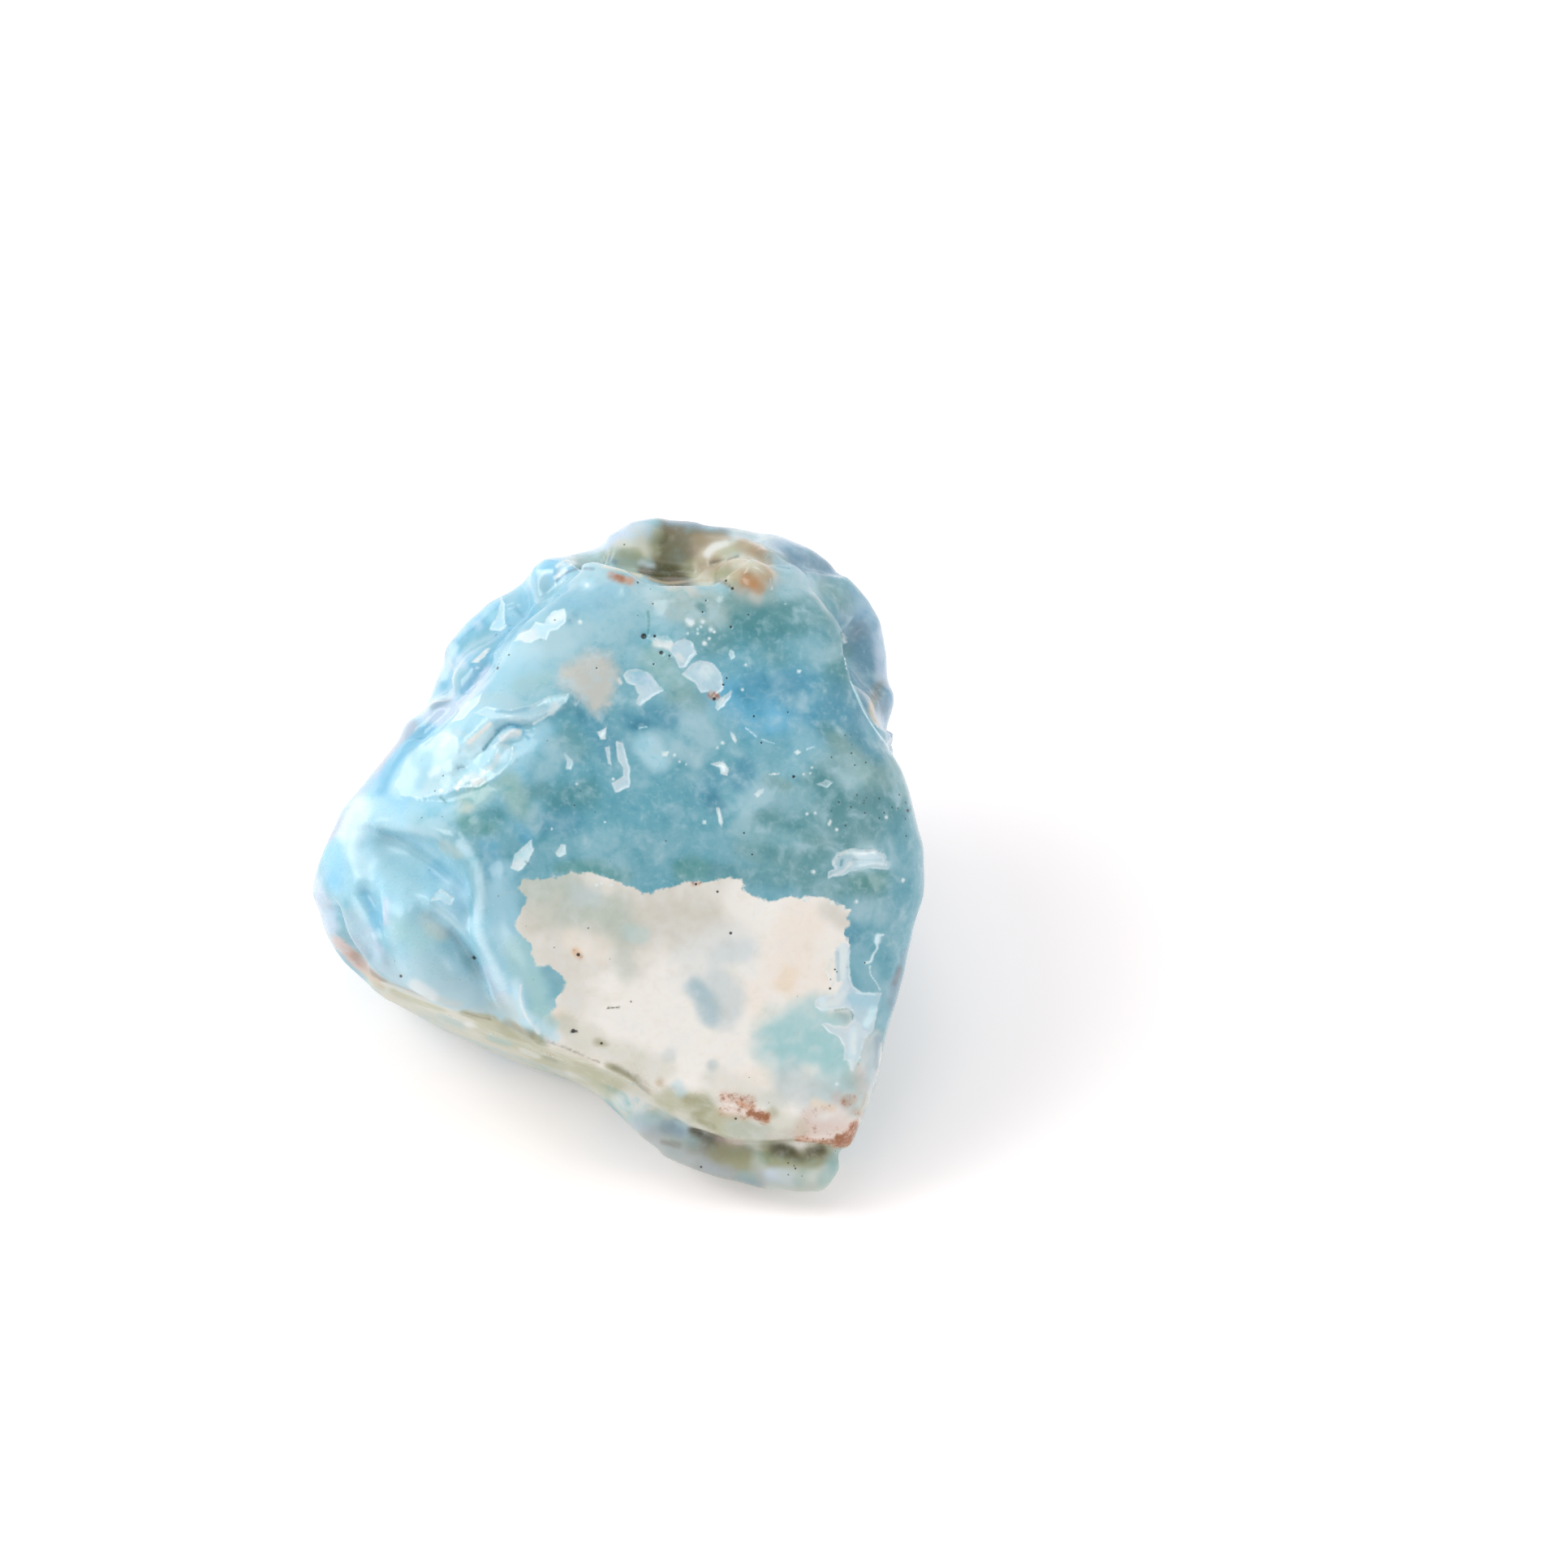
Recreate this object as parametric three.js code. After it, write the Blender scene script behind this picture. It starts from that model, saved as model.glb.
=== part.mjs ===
// A hand-sized nugget of raw larimar, the blue pectolite of volcanic rock, tumbled until it shines.
// It is one solid stone: flat-sided and wedge-shaped, with a bowl in its crown, a folded lobe on its
// left, an undercut right edge and a rough lower lip.
//
// The stone is described face-on, in millimetres, and then leaned back onto its base:
//   x runs to the right across the main face, y runs up it, and z comes out of it.
// The finished part has +Z up, rests on z = 0 and has its origin at the middle of its base.

import * as THREE from "three";
import { mergeVertices } from "three/addons/utils/BufferGeometryUtils.js";

// Driving dimensions.
const LEAN_DEG = 40; // how far the main face leans back from upright
const BASE_REACH = 14.5; // from the stone's centre down to the flat that it rests on
const BASE_ROUNDING = 2.4; // how wide a band round the base its edge is rounded over
const MASS_JOIN = 0.5; // how softly the stone's masses run into each other
const MESH_DETAIL = 19; // the icosphere's subdivision: 20 * (MESH_DETAIL + 1)^2 triangles

// The stone is four masses grown into one. Each is bounded by the flats that it broke along, given as
// [clock, out, reach]: clock is the flat's direction round the face, from the right and
// counter-clockwise, out is how far it turns towards the viewer, both in degrees, and reach is how far
// the flat lies from the stone's centre. rounding is how softly a mass's flats run into each other.
const MASSES = {
  "main wedge": {
    rounding: 0.9,
    flats: [
      [60, 74, 9.6], // main face, upper half
      [-60, 74, 8.8], // main face, lower half
      [0, 48, 14.6], // right bevel
      [165, 50, 14.6], // left shoulder
      [144, 36, 15.5], // upper left side
      [92, 24, 18.2], // crown
      [118, 14, 17.6], // crown, left
      [24, -4, 17.5], // right edge, above
      [10, -12, 17.6], // right edge, middle
      [-19, -6, 17.9], // right edge, below
      [-92, 14, 20.0], // lower end
      [247, 10, 13.2], // lower left band
      [229, -6, 17.8], // lower left corner
      [211, -6, 21.4], // left end, below
      [196, -4, 20.2], // left end
      [171, -4, 20.7], // left end, above
      [149, -6, 17.5], // upper left edge, below
      [139, -6, 15.8], // upper left edge, above
      [50, 0, 20.6], // upper right side
      [90, -50, 16.0], // back
    ],
  },
  "back lobe": {
    rounding: 0.6,
    flats: [
      [84, 0, 21.4],
      [50, -4, 22.5],
      [4, 0, 16.4],
      [127, -5, 17.2],
      [60, 75, 3.0],
      [30, -60, 16.5],
      [120, -60, 16.5],
      [180, 0, 5.0],
      [-90, 0, -2.0],
    ],
  },
  "upper left knob": {
    rounding: 0.7,
    flats: [
      [94, 0, 19.0],
      [128, -4, 18.1],
      [167, 0, 14.6],
      [180, 70, 3.0],
      [128, -70, 15.0],
      [0, 0, 0.0],
      [245, 0, 0.0],
    ],
  },
  "lower lip": {
    rounding: 0.8,
    flats: [
      [-90, 0, 21.2],
      [251, 0, 16.9],
      [-23, 0, 19.2],
      [215, 0, 9.8],
      [0, 90, 2.0],
      [90, 0, -12.0],
      [0, -90, 14.0],
    ],
  },
};

// Hollows, lumps and folds, each [what it is, path, width, height]: the path's [x, y] points are laid
// on the surface, height is how far it stands out (below 0 it sinks in), and width is how far it spreads.
const FRONT_FOLDS = [
  ["bowl in the crown", [[0.4, 19.2], [5.2, 19.2]], 2.2, -3.2],
  ["rim of the bowl", [[-2.5, 18.0], [0.4, 17.3], [2.2, 17.0], [5.5, 17.2]], 0.8, 0.35],
  ["knot beside the bowl", [[6.6, 17.8], [7.6, 17.5]], 1.2, 0.9],
  ["curl behind the knot", [[4.5, 18.6], [5.7, 19.2], [7.1, 19.5], [8.5, 18.8]], 0.8, 0.6],
  ["ridge round the left lobe", [[-16.2, 2.2], [-11.0, 1.1], [-9.4, -1.0], [-9.0, -4.5], [-7.4, -7.2],
    [-6.2, -10.5]], 1.3, 0.5],
  ["upper hollow of the lobe", [[-14.8, 0.9], [-13.0, 0.0], [-11.2, -1.5], [-10.5, -3.0]], 1.5, -1.2],
  ["lower hollow of the lobe", [[-11.2, -5.2], [-9.9, -6.8], [-8.9, -9.0]], 1.9, -1.4],
  ["swelling of the lobe", [[-14.0, -2.5], [-12.8, -5.5], [-11.0, -8.4]], 1.8, 0.7],
  ["groove at the lobe's edge", [[-16.4, -0.8], [-15.7, -3.5], [-14.5, -6.2]], 0.9, -0.5],
  ["crease under the knob", [[-5.4, 16.3], [-7.4, 14.6], [-9.0, 12.0], [-10.4, 10.4], [-13.0, 7.8]], 1.0, -0.9],
  ["fold below the crease", [[-4.2, 9.9], [-7.5, 8.9], [-8.9, 8.5], [-9.9, 7.2]], 0.8, 0.5],
  ["hollow under the fold", [[-7.0, 8.0], [-8.4, 7.5], [-9.4, 6.2]], 0.8, -0.5],
  ["notch in the knob", [[-7.0, 17.1], [-6.2, 15.8]], 0.9, -0.6],
  ["undercut of the right edge", [[12.8, 14.1], [13.9, 10.2], [15.2, 7.8], [16.2, 6.4]], 0.8, -0.8],
  ["dish in the main face", [[6.0, 5.5], [9.5, 3.0]], 4.0, -0.5],
  ["swelling under the dish", [[-1.0, -6.0], [7.0, -8.0]], 4.5, 0.35],
  ["hollow of the lower band", [[-3.0, -13.2], [1.0, -15.8], [4.0, -17.0]], 1.0, -0.5],
  ["crease above the lip", [[3.2, -16.7], [7.4, -17.7], [9.5, -17.4], [12.4, -17.6]], 0.8, -0.7],
];
const BACK_FOLDS = [
  ["hollow in the back", [[-4.0, 9.0], [3.0, 11.0]], 3.6, -1.3],
  ["crease down the back", [[6.0, 16.0], [8.0, 9.0], [12.0, 4.0]], 1.1, -0.9],
  ["swelling of the back", [[-11.0, 8.0], [-9.0, 3.0]], 3.0, 0.7],
];

const DEG = Math.PI / 180;
const lean = new THREE.Matrix4().makeRotationX(LEAN_DEG * DEG);
const down = new THREE.Vector3(0, 0, -1).applyMatrix4(lean.clone().invert());

function direction(clock, out) {
  const c = clock * DEG;
  const o = out * DEG;
  return new THREE.Vector3(Math.cos(o) * Math.cos(c), Math.cos(o) * Math.sin(c), Math.sin(o));
}

const FLAT_SIDED = Object.values(MASSES).map(({ rounding, flats }) => ({
  rounding,
  flats: flats.map(([clock, out, reach]) => ({ normal: direction(clock, out), reach })),
}));

// Signed distance from one mass, below 0 inside it: a softened maximum over its flats.
function massDistance(point, { rounding, flats }) {
  let sum = 0;
  for (const { normal, reach } of flats) sum += Math.exp((point.dot(normal) - reach) / rounding);
  return rounding * Math.log(sum);
}

// Signed distance from the stone before its folds: a softened minimum over its masses, cut off at the
// base along an exact flat whose edge alone is rounded.
function bodyDistance(point) {
  let sum = 0;
  for (const mass of FLAT_SIDED) sum += Math.exp(-massDistance(point, mass) / MASS_JOIN);
  const body = -MASS_JOIN * Math.log(sum);
  const base = point.dot(down) - BASE_REACH;
  const nearEdge = Math.max(BASE_ROUNDING - Math.abs(body - base), 0) / BASE_ROUNDING;
  return Math.max(body, base) + (nearEdge * nearEdge * BASE_ROUNDING) / 4;
}

// How far along a ray from start the surface lies: the last place where the ray leaves the body.
function lastCrossing(start, ray) {
  const FAR = 45;
  const STEP = 0.5;
  const HALVINGS = 24;
  const point = new THREE.Vector3();
  const at = (t) => bodyDistance(point.copy(ray).multiplyScalar(t).add(start));
  let outside = FAR;
  while (outside > 0 && at(outside - STEP) > 0) outside -= STEP;
  let inside = outside - STEP;
  for (let i = 0; i < HALVINGS; i++) {
    const middle = (inside + outside) / 2;
    if (at(middle) > 0) outside = middle;
    else inside = middle;
  }
  return inside;
}

// The paths of the folds laid on the side of the stone that faces along z (side 1) or against it (-1).
function laid(folds, side) {
  const BEHIND = 20;
  const ray = new THREE.Vector3(0, 0, side);
  const onSurface = ([x, y]) => {
    const start = new THREE.Vector3(x, y, -side * BEHIND);
    return ray.clone().multiplyScalar(lastCrossing(start, ray)).add(start);
  };
  return folds.map(([, path, width, height]) => ({ path: path.map(onSurface), width, height }));
}

const LAID_FOLDS = [...laid(FRONT_FOLDS, 1), ...laid(BACK_FOLDS, -1)];

function distanceToPath(point, path) {
  const nearest = new THREE.Vector3();
  let least = path[0].distanceTo(point);
  for (let i = 1; i < path.length; i++) {
    new THREE.Line3(path[i - 1], path[i]).closestPointToPoint(point, true, nearest);
    least = Math.min(least, nearest.distanceTo(point));
  }
  return least;
}

// How far the folds lift the surface at a point of it. They fade out towards the base, which stays flat.
function foldHeight(point) {
  let height = 0;
  for (const fold of LAID_FOLDS) {
    const away = distanceToPath(point, fold.path) / fold.width;
    height += fold.height * Math.exp(-away * away);
  }
  const aboveBase = BASE_REACH - point.dot(down);
  return height * THREE.MathUtils.smoothstep(aboveBase, 0, BASE_ROUNDING);
}

function stoneGeometry() {
  const sphere = new THREE.IcosahedronGeometry(1, MESH_DETAIL);
  sphere.deleteAttribute("normal");
  sphere.deleteAttribute("uv");
  const stone = mergeVertices(sphere);
  const places = stone.getAttribute("position");
  const centre = new THREE.Vector3();
  const ray = new THREE.Vector3();
  const point = new THREE.Vector3();
  for (let i = 0; i < places.count; i++) {
    ray.fromBufferAttribute(places, i).normalize();
    point.copy(ray).multiplyScalar(lastCrossing(centre, ray));
    point.addScaledVector(ray, foldHeight(point));
    places.setXYZ(i, point.x, point.y, point.z);
  }
  stone.applyMatrix4(lean);
  stone.computeBoundingBox();
  const middle = stone.boundingBox.getCenter(new THREE.Vector3());
  stone.translate(-middle.x, -middle.y, BASE_REACH);
  return stone;
}

const larimar = new THREE.MeshStandardMaterial({ color: 0x7fb9cf, roughness: 0.18, metalness: 0 });
const stone = new THREE.Mesh(stoneGeometry(), larimar);
stone.name = "larimar_stone";

const part = new THREE.Group();
part.add(stone);
export default part;
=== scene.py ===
"""A hand-sized nugget of raw larimar, tumbled to a shine, on a pale studio floor.

The stone is described face-on, in millimetres: x runs to the right across its main face, y runs up it and
z comes out of it towards the viewer. face_to_row() and row_to_face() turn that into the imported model's
frame, where the same face leans back from upright and the stone rests on z = 0. Things on the stone are
placed by (x, y) pairs: where the viewer's line of sight to them crosses z = PICTURE_DEPTH.
"""

import math

import bmesh
import bpy
import numpy as np
from mathutils import Matrix, Vector, noise
from mathutils.bvhtree import BVHTree
from mathutils.kdtree import KDTree


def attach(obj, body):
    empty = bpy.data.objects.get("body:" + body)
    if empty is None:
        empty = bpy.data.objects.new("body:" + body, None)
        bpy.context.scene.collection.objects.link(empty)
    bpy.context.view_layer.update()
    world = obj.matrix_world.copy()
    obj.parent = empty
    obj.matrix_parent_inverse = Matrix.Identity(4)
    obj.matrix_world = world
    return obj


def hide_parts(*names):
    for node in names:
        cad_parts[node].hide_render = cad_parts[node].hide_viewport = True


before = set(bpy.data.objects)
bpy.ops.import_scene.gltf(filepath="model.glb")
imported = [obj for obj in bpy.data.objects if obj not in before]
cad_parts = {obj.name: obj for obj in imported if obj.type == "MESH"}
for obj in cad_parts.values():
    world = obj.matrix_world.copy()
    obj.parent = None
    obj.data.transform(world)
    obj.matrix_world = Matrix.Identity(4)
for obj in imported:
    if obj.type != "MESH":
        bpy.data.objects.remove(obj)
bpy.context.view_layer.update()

MM = 0.001
STONE = "larimar_stone"

# ---------------------------------------------------------------- the face frame

LEAN = math.radians(40)  # how far the main face leans back from upright
FACE_CENTRE = np.array([0.98, -2.81, 14.5])  # the face frame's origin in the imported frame
FACE_AXES = np.array(Matrix.Rotation(LEAN, 3, "X"))

VIEW_DISTANCE = 400  # from the face frame's origin to the camera, along z
PICTURE_DEPTH = 8  # the z at which a place's (x, y) is what the viewer's line of sight crosses


def row_to_face(points):
    """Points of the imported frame, in metres, in the face frame, in millimetres."""
    return (np.asarray(points) / MM - FACE_CENTRE) @ FACE_AXES


def face_to_row(points):
    """Points of the face frame, in millimetres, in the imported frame, in metres."""
    return (np.asarray(points) @ FACE_AXES.T + FACE_CENTRE) * MM


def turned(direction):
    """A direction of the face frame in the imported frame."""
    return Vector(FACE_AXES @ np.array(direction)).normalized()


def seen(points, side=1):
    """The (x, y) places of the points as seen from the front (side 1) or from behind (side -1)."""
    return points[:, :2] * ((VIEW_DISTANCE - PICTURE_DEPTH) / (VIEW_DISTANCE - side * points[:, 2:]))


def flattened(points, side=1):
    """The points as they are seen, with what counts of their depth as a third coordinate."""
    DEPTH_COUNTS = 0.25
    return np.hstack([seen(points, side), DEPTH_COUNTS * points[:, 2:]])


# ---------------------------------------------------------------- lamps
# [direction from the stone in the face frame; distance, width and height in metres; radiance]

LAMPS = {
    "left window": [(-0.774, 0.43, 0.479), 0.6, 0.26, 0.36, 3.0],
    "top window": [(-0.08, 0.68, 0.73), 0.7, 0.20, 0.20, 3.0],
    "right window": [(0.80, 0.0, 0.59), 0.7, 0.16, 0.26, 3.0],
}

# The same, but not mirrored in the stone.
FILL = [(-0.60, 0.50, 0.45), 0.9, 0.5, 0.5, 2.5]

# ---------------------------------------------------------------- relief
# Folds: [what it is, left width, right width, height, path]. A path's (x, y) places are laid on the front of
# the stone. The surface is lifted by height along the path (below 0 it sinks), and that fades over the
# left and the right width, seen along the path from the front.

FOLDS = [
    ["edge round the left lobe", 1.2, 0.5, 0.55, [
        (-15.3, 2.0), (-12.8, 1.9), (-10.7, 1.2), (-9.6, -0.2), (-9.2, -2.0), (-9.1, -3.9), (-7.7, -6.6),
        (-6.9, -8.6), (-6.3, -10.0)]],
    ["crease inside that edge", 0.35, 1.2, -0.42, [
        (-14.9, 1.5), (-13.2, 0.3), (-11.7, -0.8), (-10.4, -2.0), (-9.9, -3.4)]],
    ["inner edge of the lobe", 0.8, 0.3, 0.45, [
        (-12.2, -2.6), (-10.8, -3.7), (-9.8, -4.9), (-9.0, -6.4), (-8.3, -8.2)]],
    ["crease inside the inner edge", 0.3, 1.1, -0.36, [
        (-12.0, -3.5), (-10.8, -4.5), (-9.8, -5.9), (-9.1, -7.4), (-8.7, -8.6)]],
    ["outer hollow of the ridge's end", 0.4, 0.5, -0.3, [(-7.4, -7.6), (-6.9, -9.0), (-6.5, -10.0)]],
    ["left rib of the lobe", 0.3, 0.5, 0.3, [(-14.9, -2.0), (-14.9, -3.4), (-15.5, -4.4), (-14.9, -5.8)]],
    ["hollow beside the rib", 0.5, 0.4, -0.4, [(-16.2, -2.0), (-15.5, -3.2), (-15.3, -3.9)]],
    ["swelling of the lobe", 0.9, 0.9, 0.25, [(-13.6, -3.6), (-12.4, -5.6), (-11.4, -7.2)]],
    ["left end's ridge", 0.6, 0.9, 0.3, [(-17.0, 2.6), (-17.1, 0.6), (-16.4, -1.2)]],
    ["crease under the knob", 0.3, 0.7, -0.6, [
        (-3.4, 17.6), (-5.4, 16.2), (-7.4, 14.5), (-8.3, 13.3), (-9.1, 11.5), (-10.3, 10.1), (-11.6, 8.8),
        (-12.9, 7.7)]],
    ["rib beside the crease", 0.35, 0.3, 0.35, [(-8.5, 12.6), (-9.3, 10.8), (-10.4, 9.4)]],
    ["second crease beside it", 0.2, 0.3, -0.35, [(-8.7, 12.1), (-9.8, 10.1)]],
    ["upper bulge of the knob", 1.2, 1.2, 0.4, [(-9.0, 14.6)]],
    ["lower bulge of the knob", 1.2, 1.2, 0.35, [(-10.2, 12.4)]],
    ["upright rib of the crown", 0.5, 0.4, 0.35, [(-6.0, 15.4), (-5.8, 17.0)]],
    ["hollow beside that rib", 0.4, 0.4, -0.35, [(-6.7, 16.6), (-6.8, 15.6)]],
    ["fold below the crease", 0.4, 0.6, 0.3, [
        (-3.9, 9.6), (-5.2, 9.3), (-6.2, 8.8), (-7.6, 8.6), (-8.8, 8.2), (-9.5, 7.6), (-10.1, 7.0)]],
    ["hollow under the fold", 0.3, 0.2, -0.25, [(-6.2, 8.1), (-7.2, 8.2), (-7.9, 7.9), (-8.8, 6.9)]],
    ["lip of the shoulder", 0.35, 0.5, 0.3, [(-7.2, 7.8), (-8.0, 7.0), (-8.6, 5.9)]],
    ["hollow of the shoulder", 0.4, 0.4, -0.3, [(-10.6, 5.6), (-10.1, 5.7)]],
    ["step under the shoulder", 0.3, 0.8, -0.2, [(-14.0, 3.6), (-11.6, 3.6), (-10.4, 4.0), (-8.8, 4.6)]],
    ["dip of the bowl's rim", 0.9, 0.8, -0.7, [(0.8, 17.0), (4.8, 17.1)]],
    ["rim of the bowl", 0.35, 1.0, 0.35, [
        (-3.6, 17.9), (-2.5, 17.7), (-0.8, 17.3), (1.0, 16.9), (2.3, 16.8), (4.0, 16.8), (5.2, 17.0),
        (5.9, 16.7)]],
    ["floor of the bowl", 0.7, 0.3, -0.9, [(-2.6, 18.3), (-1.0, 18.1), (1.2, 17.7), (3.6, 17.6)]],
    ["back wall of the bowl", 0.9, 0.9, -0.7, [(1.4, 19.2), (3.4, 18.9)]],
    ["curl behind the knot", 0.5, 0.35, 0.2, [(4.6, 18.3), (5.6, 18.9), (6.9, 19.1), (8.2, 18.4)]],
    ["crease between curl and knot", 0.3, 0.25, -0.25, [
        (5.0, 17.9), (5.9, 18.15), (7.0, 18.4), (8.0, 18.0)]],
    ["knot beside the bowl", 0.35, 0.5, 0.5, [(5.3, 17.3), (6.3, 17.8), (7.4, 17.6), (8.2, 17.0)]],
    ["line of the back lobe", 0.4, 0.3, -0.35, [(8.5, 18.2), (9.8, 17.8), (11.3, 17.6), (12.9, 17.4)]],
    ["drop beyond the right edge", 1.6, 0.12, -0.7, [
        (12.6, 14.0), (12.9, 12.6), (13.3, 11.0), (13.9, 9.9), (14.7, 8.4), (15.5, 7.1)]],
    ["lower edge of the main face", 0.8, 0.3, 0.22, [
        (-6.2, -10.4), (-4.2, -11.3), (-1.8, -12.3), (0.4, -13.4), (1.6, -14.6), (3.4, -15.8),
        (5.4, -16.4)]],
    ["hollow under that edge", 0.3, 0.9, -0.3, [(-1.5, -13.0), (0.6, -14.4), (2.4, -15.9)]],
    ["crease above the lip", 0.25, 0.6, -0.5, [
        (2.6, -15.9), (4.0, -16.6), (6.2, -17.2), (9.4, -17.2), (12.8, -17.7)]],
    ["edge above that crease", 0.6, 0.25, 0.25, [(6.0, -16.4), (8.0, -16.8), (9.8, -16.6), (12.4, -17.0)]],
    ["hollow of the lip", 0.4, 0.5, -0.4, [(3.8, -16.6), (5.0, -17.1)]],
    ["right hollow of the lip", 0.5, 0.5, -0.35, [(8.6, -17.6), (10.0, -17.8), (11.4, -17.7)]],
    ["notch between knob and back lobe", 0.6, 0.6, -1.3, [(-3.1, 18.5), (-2.5, 18.9), (-2.1, 19.0)]],
    ["end of the crease", 0.7, 0.7, -0.35, [(-11.4, 10.0)]],
    ["left end, below", 0.8, 0.8, -1.6, [(-18.7, -3.2), (-18.3, -4.6), (-17.7, -5.6), (-16.9, -6.4)]],
    ["lower left corner", 0.6, 0.6, 0.35, [(-15.4, -7.6), (-14.6, -8.1)]],
    ["below the knob", 0.7, 0.7, 0.4, [(-13.4, 8.1)]],
    ["right edge below the back lobe", 0.8, 0.8, 0.7, [(14.9, 9.8), (15.1, 8.8), (15.1, 7.6)]],
    ["joint of the back lobe", 1.3, 0.6, 0.35, [(9.8, 17.4), (11.2, 16.4), (12.2, 15.0)]],
    ["back lobe's left corner", 0.6, 0.6, 0.3, [(0.0, 20.2), (1.4, 20.3)]],
    ["back lobe's right corner", 0.6, 0.6, -0.5, [(4.6, 20.1), (6.2, 20.0), (7.4, 19.7)]],
    ["crown's left end", 0.8, 0.8, 0.45, [(-5.2, 17.7)]],
    ["upper notch of the knob", 0.6, 0.6, -0.3, [(-7.2, 16.0)]],
    ["upper edge of the knob", 0.7, 0.7, -0.3, [(-9.2, 14.7)]],
    ["lower edge of the knob", 0.6, 0.6, -0.6, [(-11.4, 11.6), (-11.5, 10.4)]],
    ["back lobe's right edge", 1.0, 1.0, 0.35, [(14.6, 14.2), (14.8, 12.0), (14.8, 9.8)]],
    ["right end", 1.0, 1.0, 0.25, [(17.0, 0.6), (17.0, -2.0)]],
    ["lower edge of the lip", 0.4, 0.4, 0.2, [(2.0, -17.6), (5.0, -18.8), (8.0, -19.6)]],
    ["lower right corner of the lip", 0.6, 0.6, 0.4, [(11.2, -19.3)]],
    ["right edge of the lip", 0.5, 0.5, -0.35, [(12.8, -17.9)]],
]

# Pits, [x, y, radius], each with a dark grain in it.
PITS = [
    (0.65, 13.55, 0.22), (1.3, 13.55, 0.12), (1.7, 12.55, 0.15), (2.2, 12.35, 0.09), (5.9, 14.1, 0.1),
    (1.25, 11.85, 0.08), (5.45, 10.6, 0.1), (5.65, 11.0, 0.08), (4.9, 9.75, 0.14), (9.7, 5.05, 0.12),
    (6.7, 1.65, 0.08), (7.2, 0.35, 0.08), (7.3, 8.7, 0.09), (9.35, 8.95, 0.07), (7.75, 7.1, 0.08),
    (13.4, 5.75, 0.07), (1.2, 15.5, 0.07), (4.4, 15.7, 0.08), (4.2, 15.0, 0.08), (6.0, 16.4, 0.12),
    (5.6, 16.9, 0.1), (0.3, 16.8, 0.09), (-3.3, -5.7, 0.14), (-3.6, -10.3, 0.16), (-1.9, -11.05, 0.11),
    (5.9, -4.4, 0.12), (3.8, -1.45, 0.1), (5.1, -1.9, 0.1), (-8.2, 11.6, 0.12), (-7.5, 12.4, 0.07),
    (-9.6, -5.9, 0.14), (-14.0, -7.0, 0.12), (-2.2, 11.6, 0.07), (11.9, -7.75, 0.1), (12.2, -6.6, 0.08),
    (14.0, -6.2, 0.08), (6.2, -15.6, 0.1), (4.1, -18.5, 0.1), (9.8, -18.6, 0.08), (-2.7, -4.1, 0.07),
    (7.0, -13.1, 0.05), (16.6, 3.0, 0.12), (-1.2, 18.2, 0.12),
]

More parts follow.
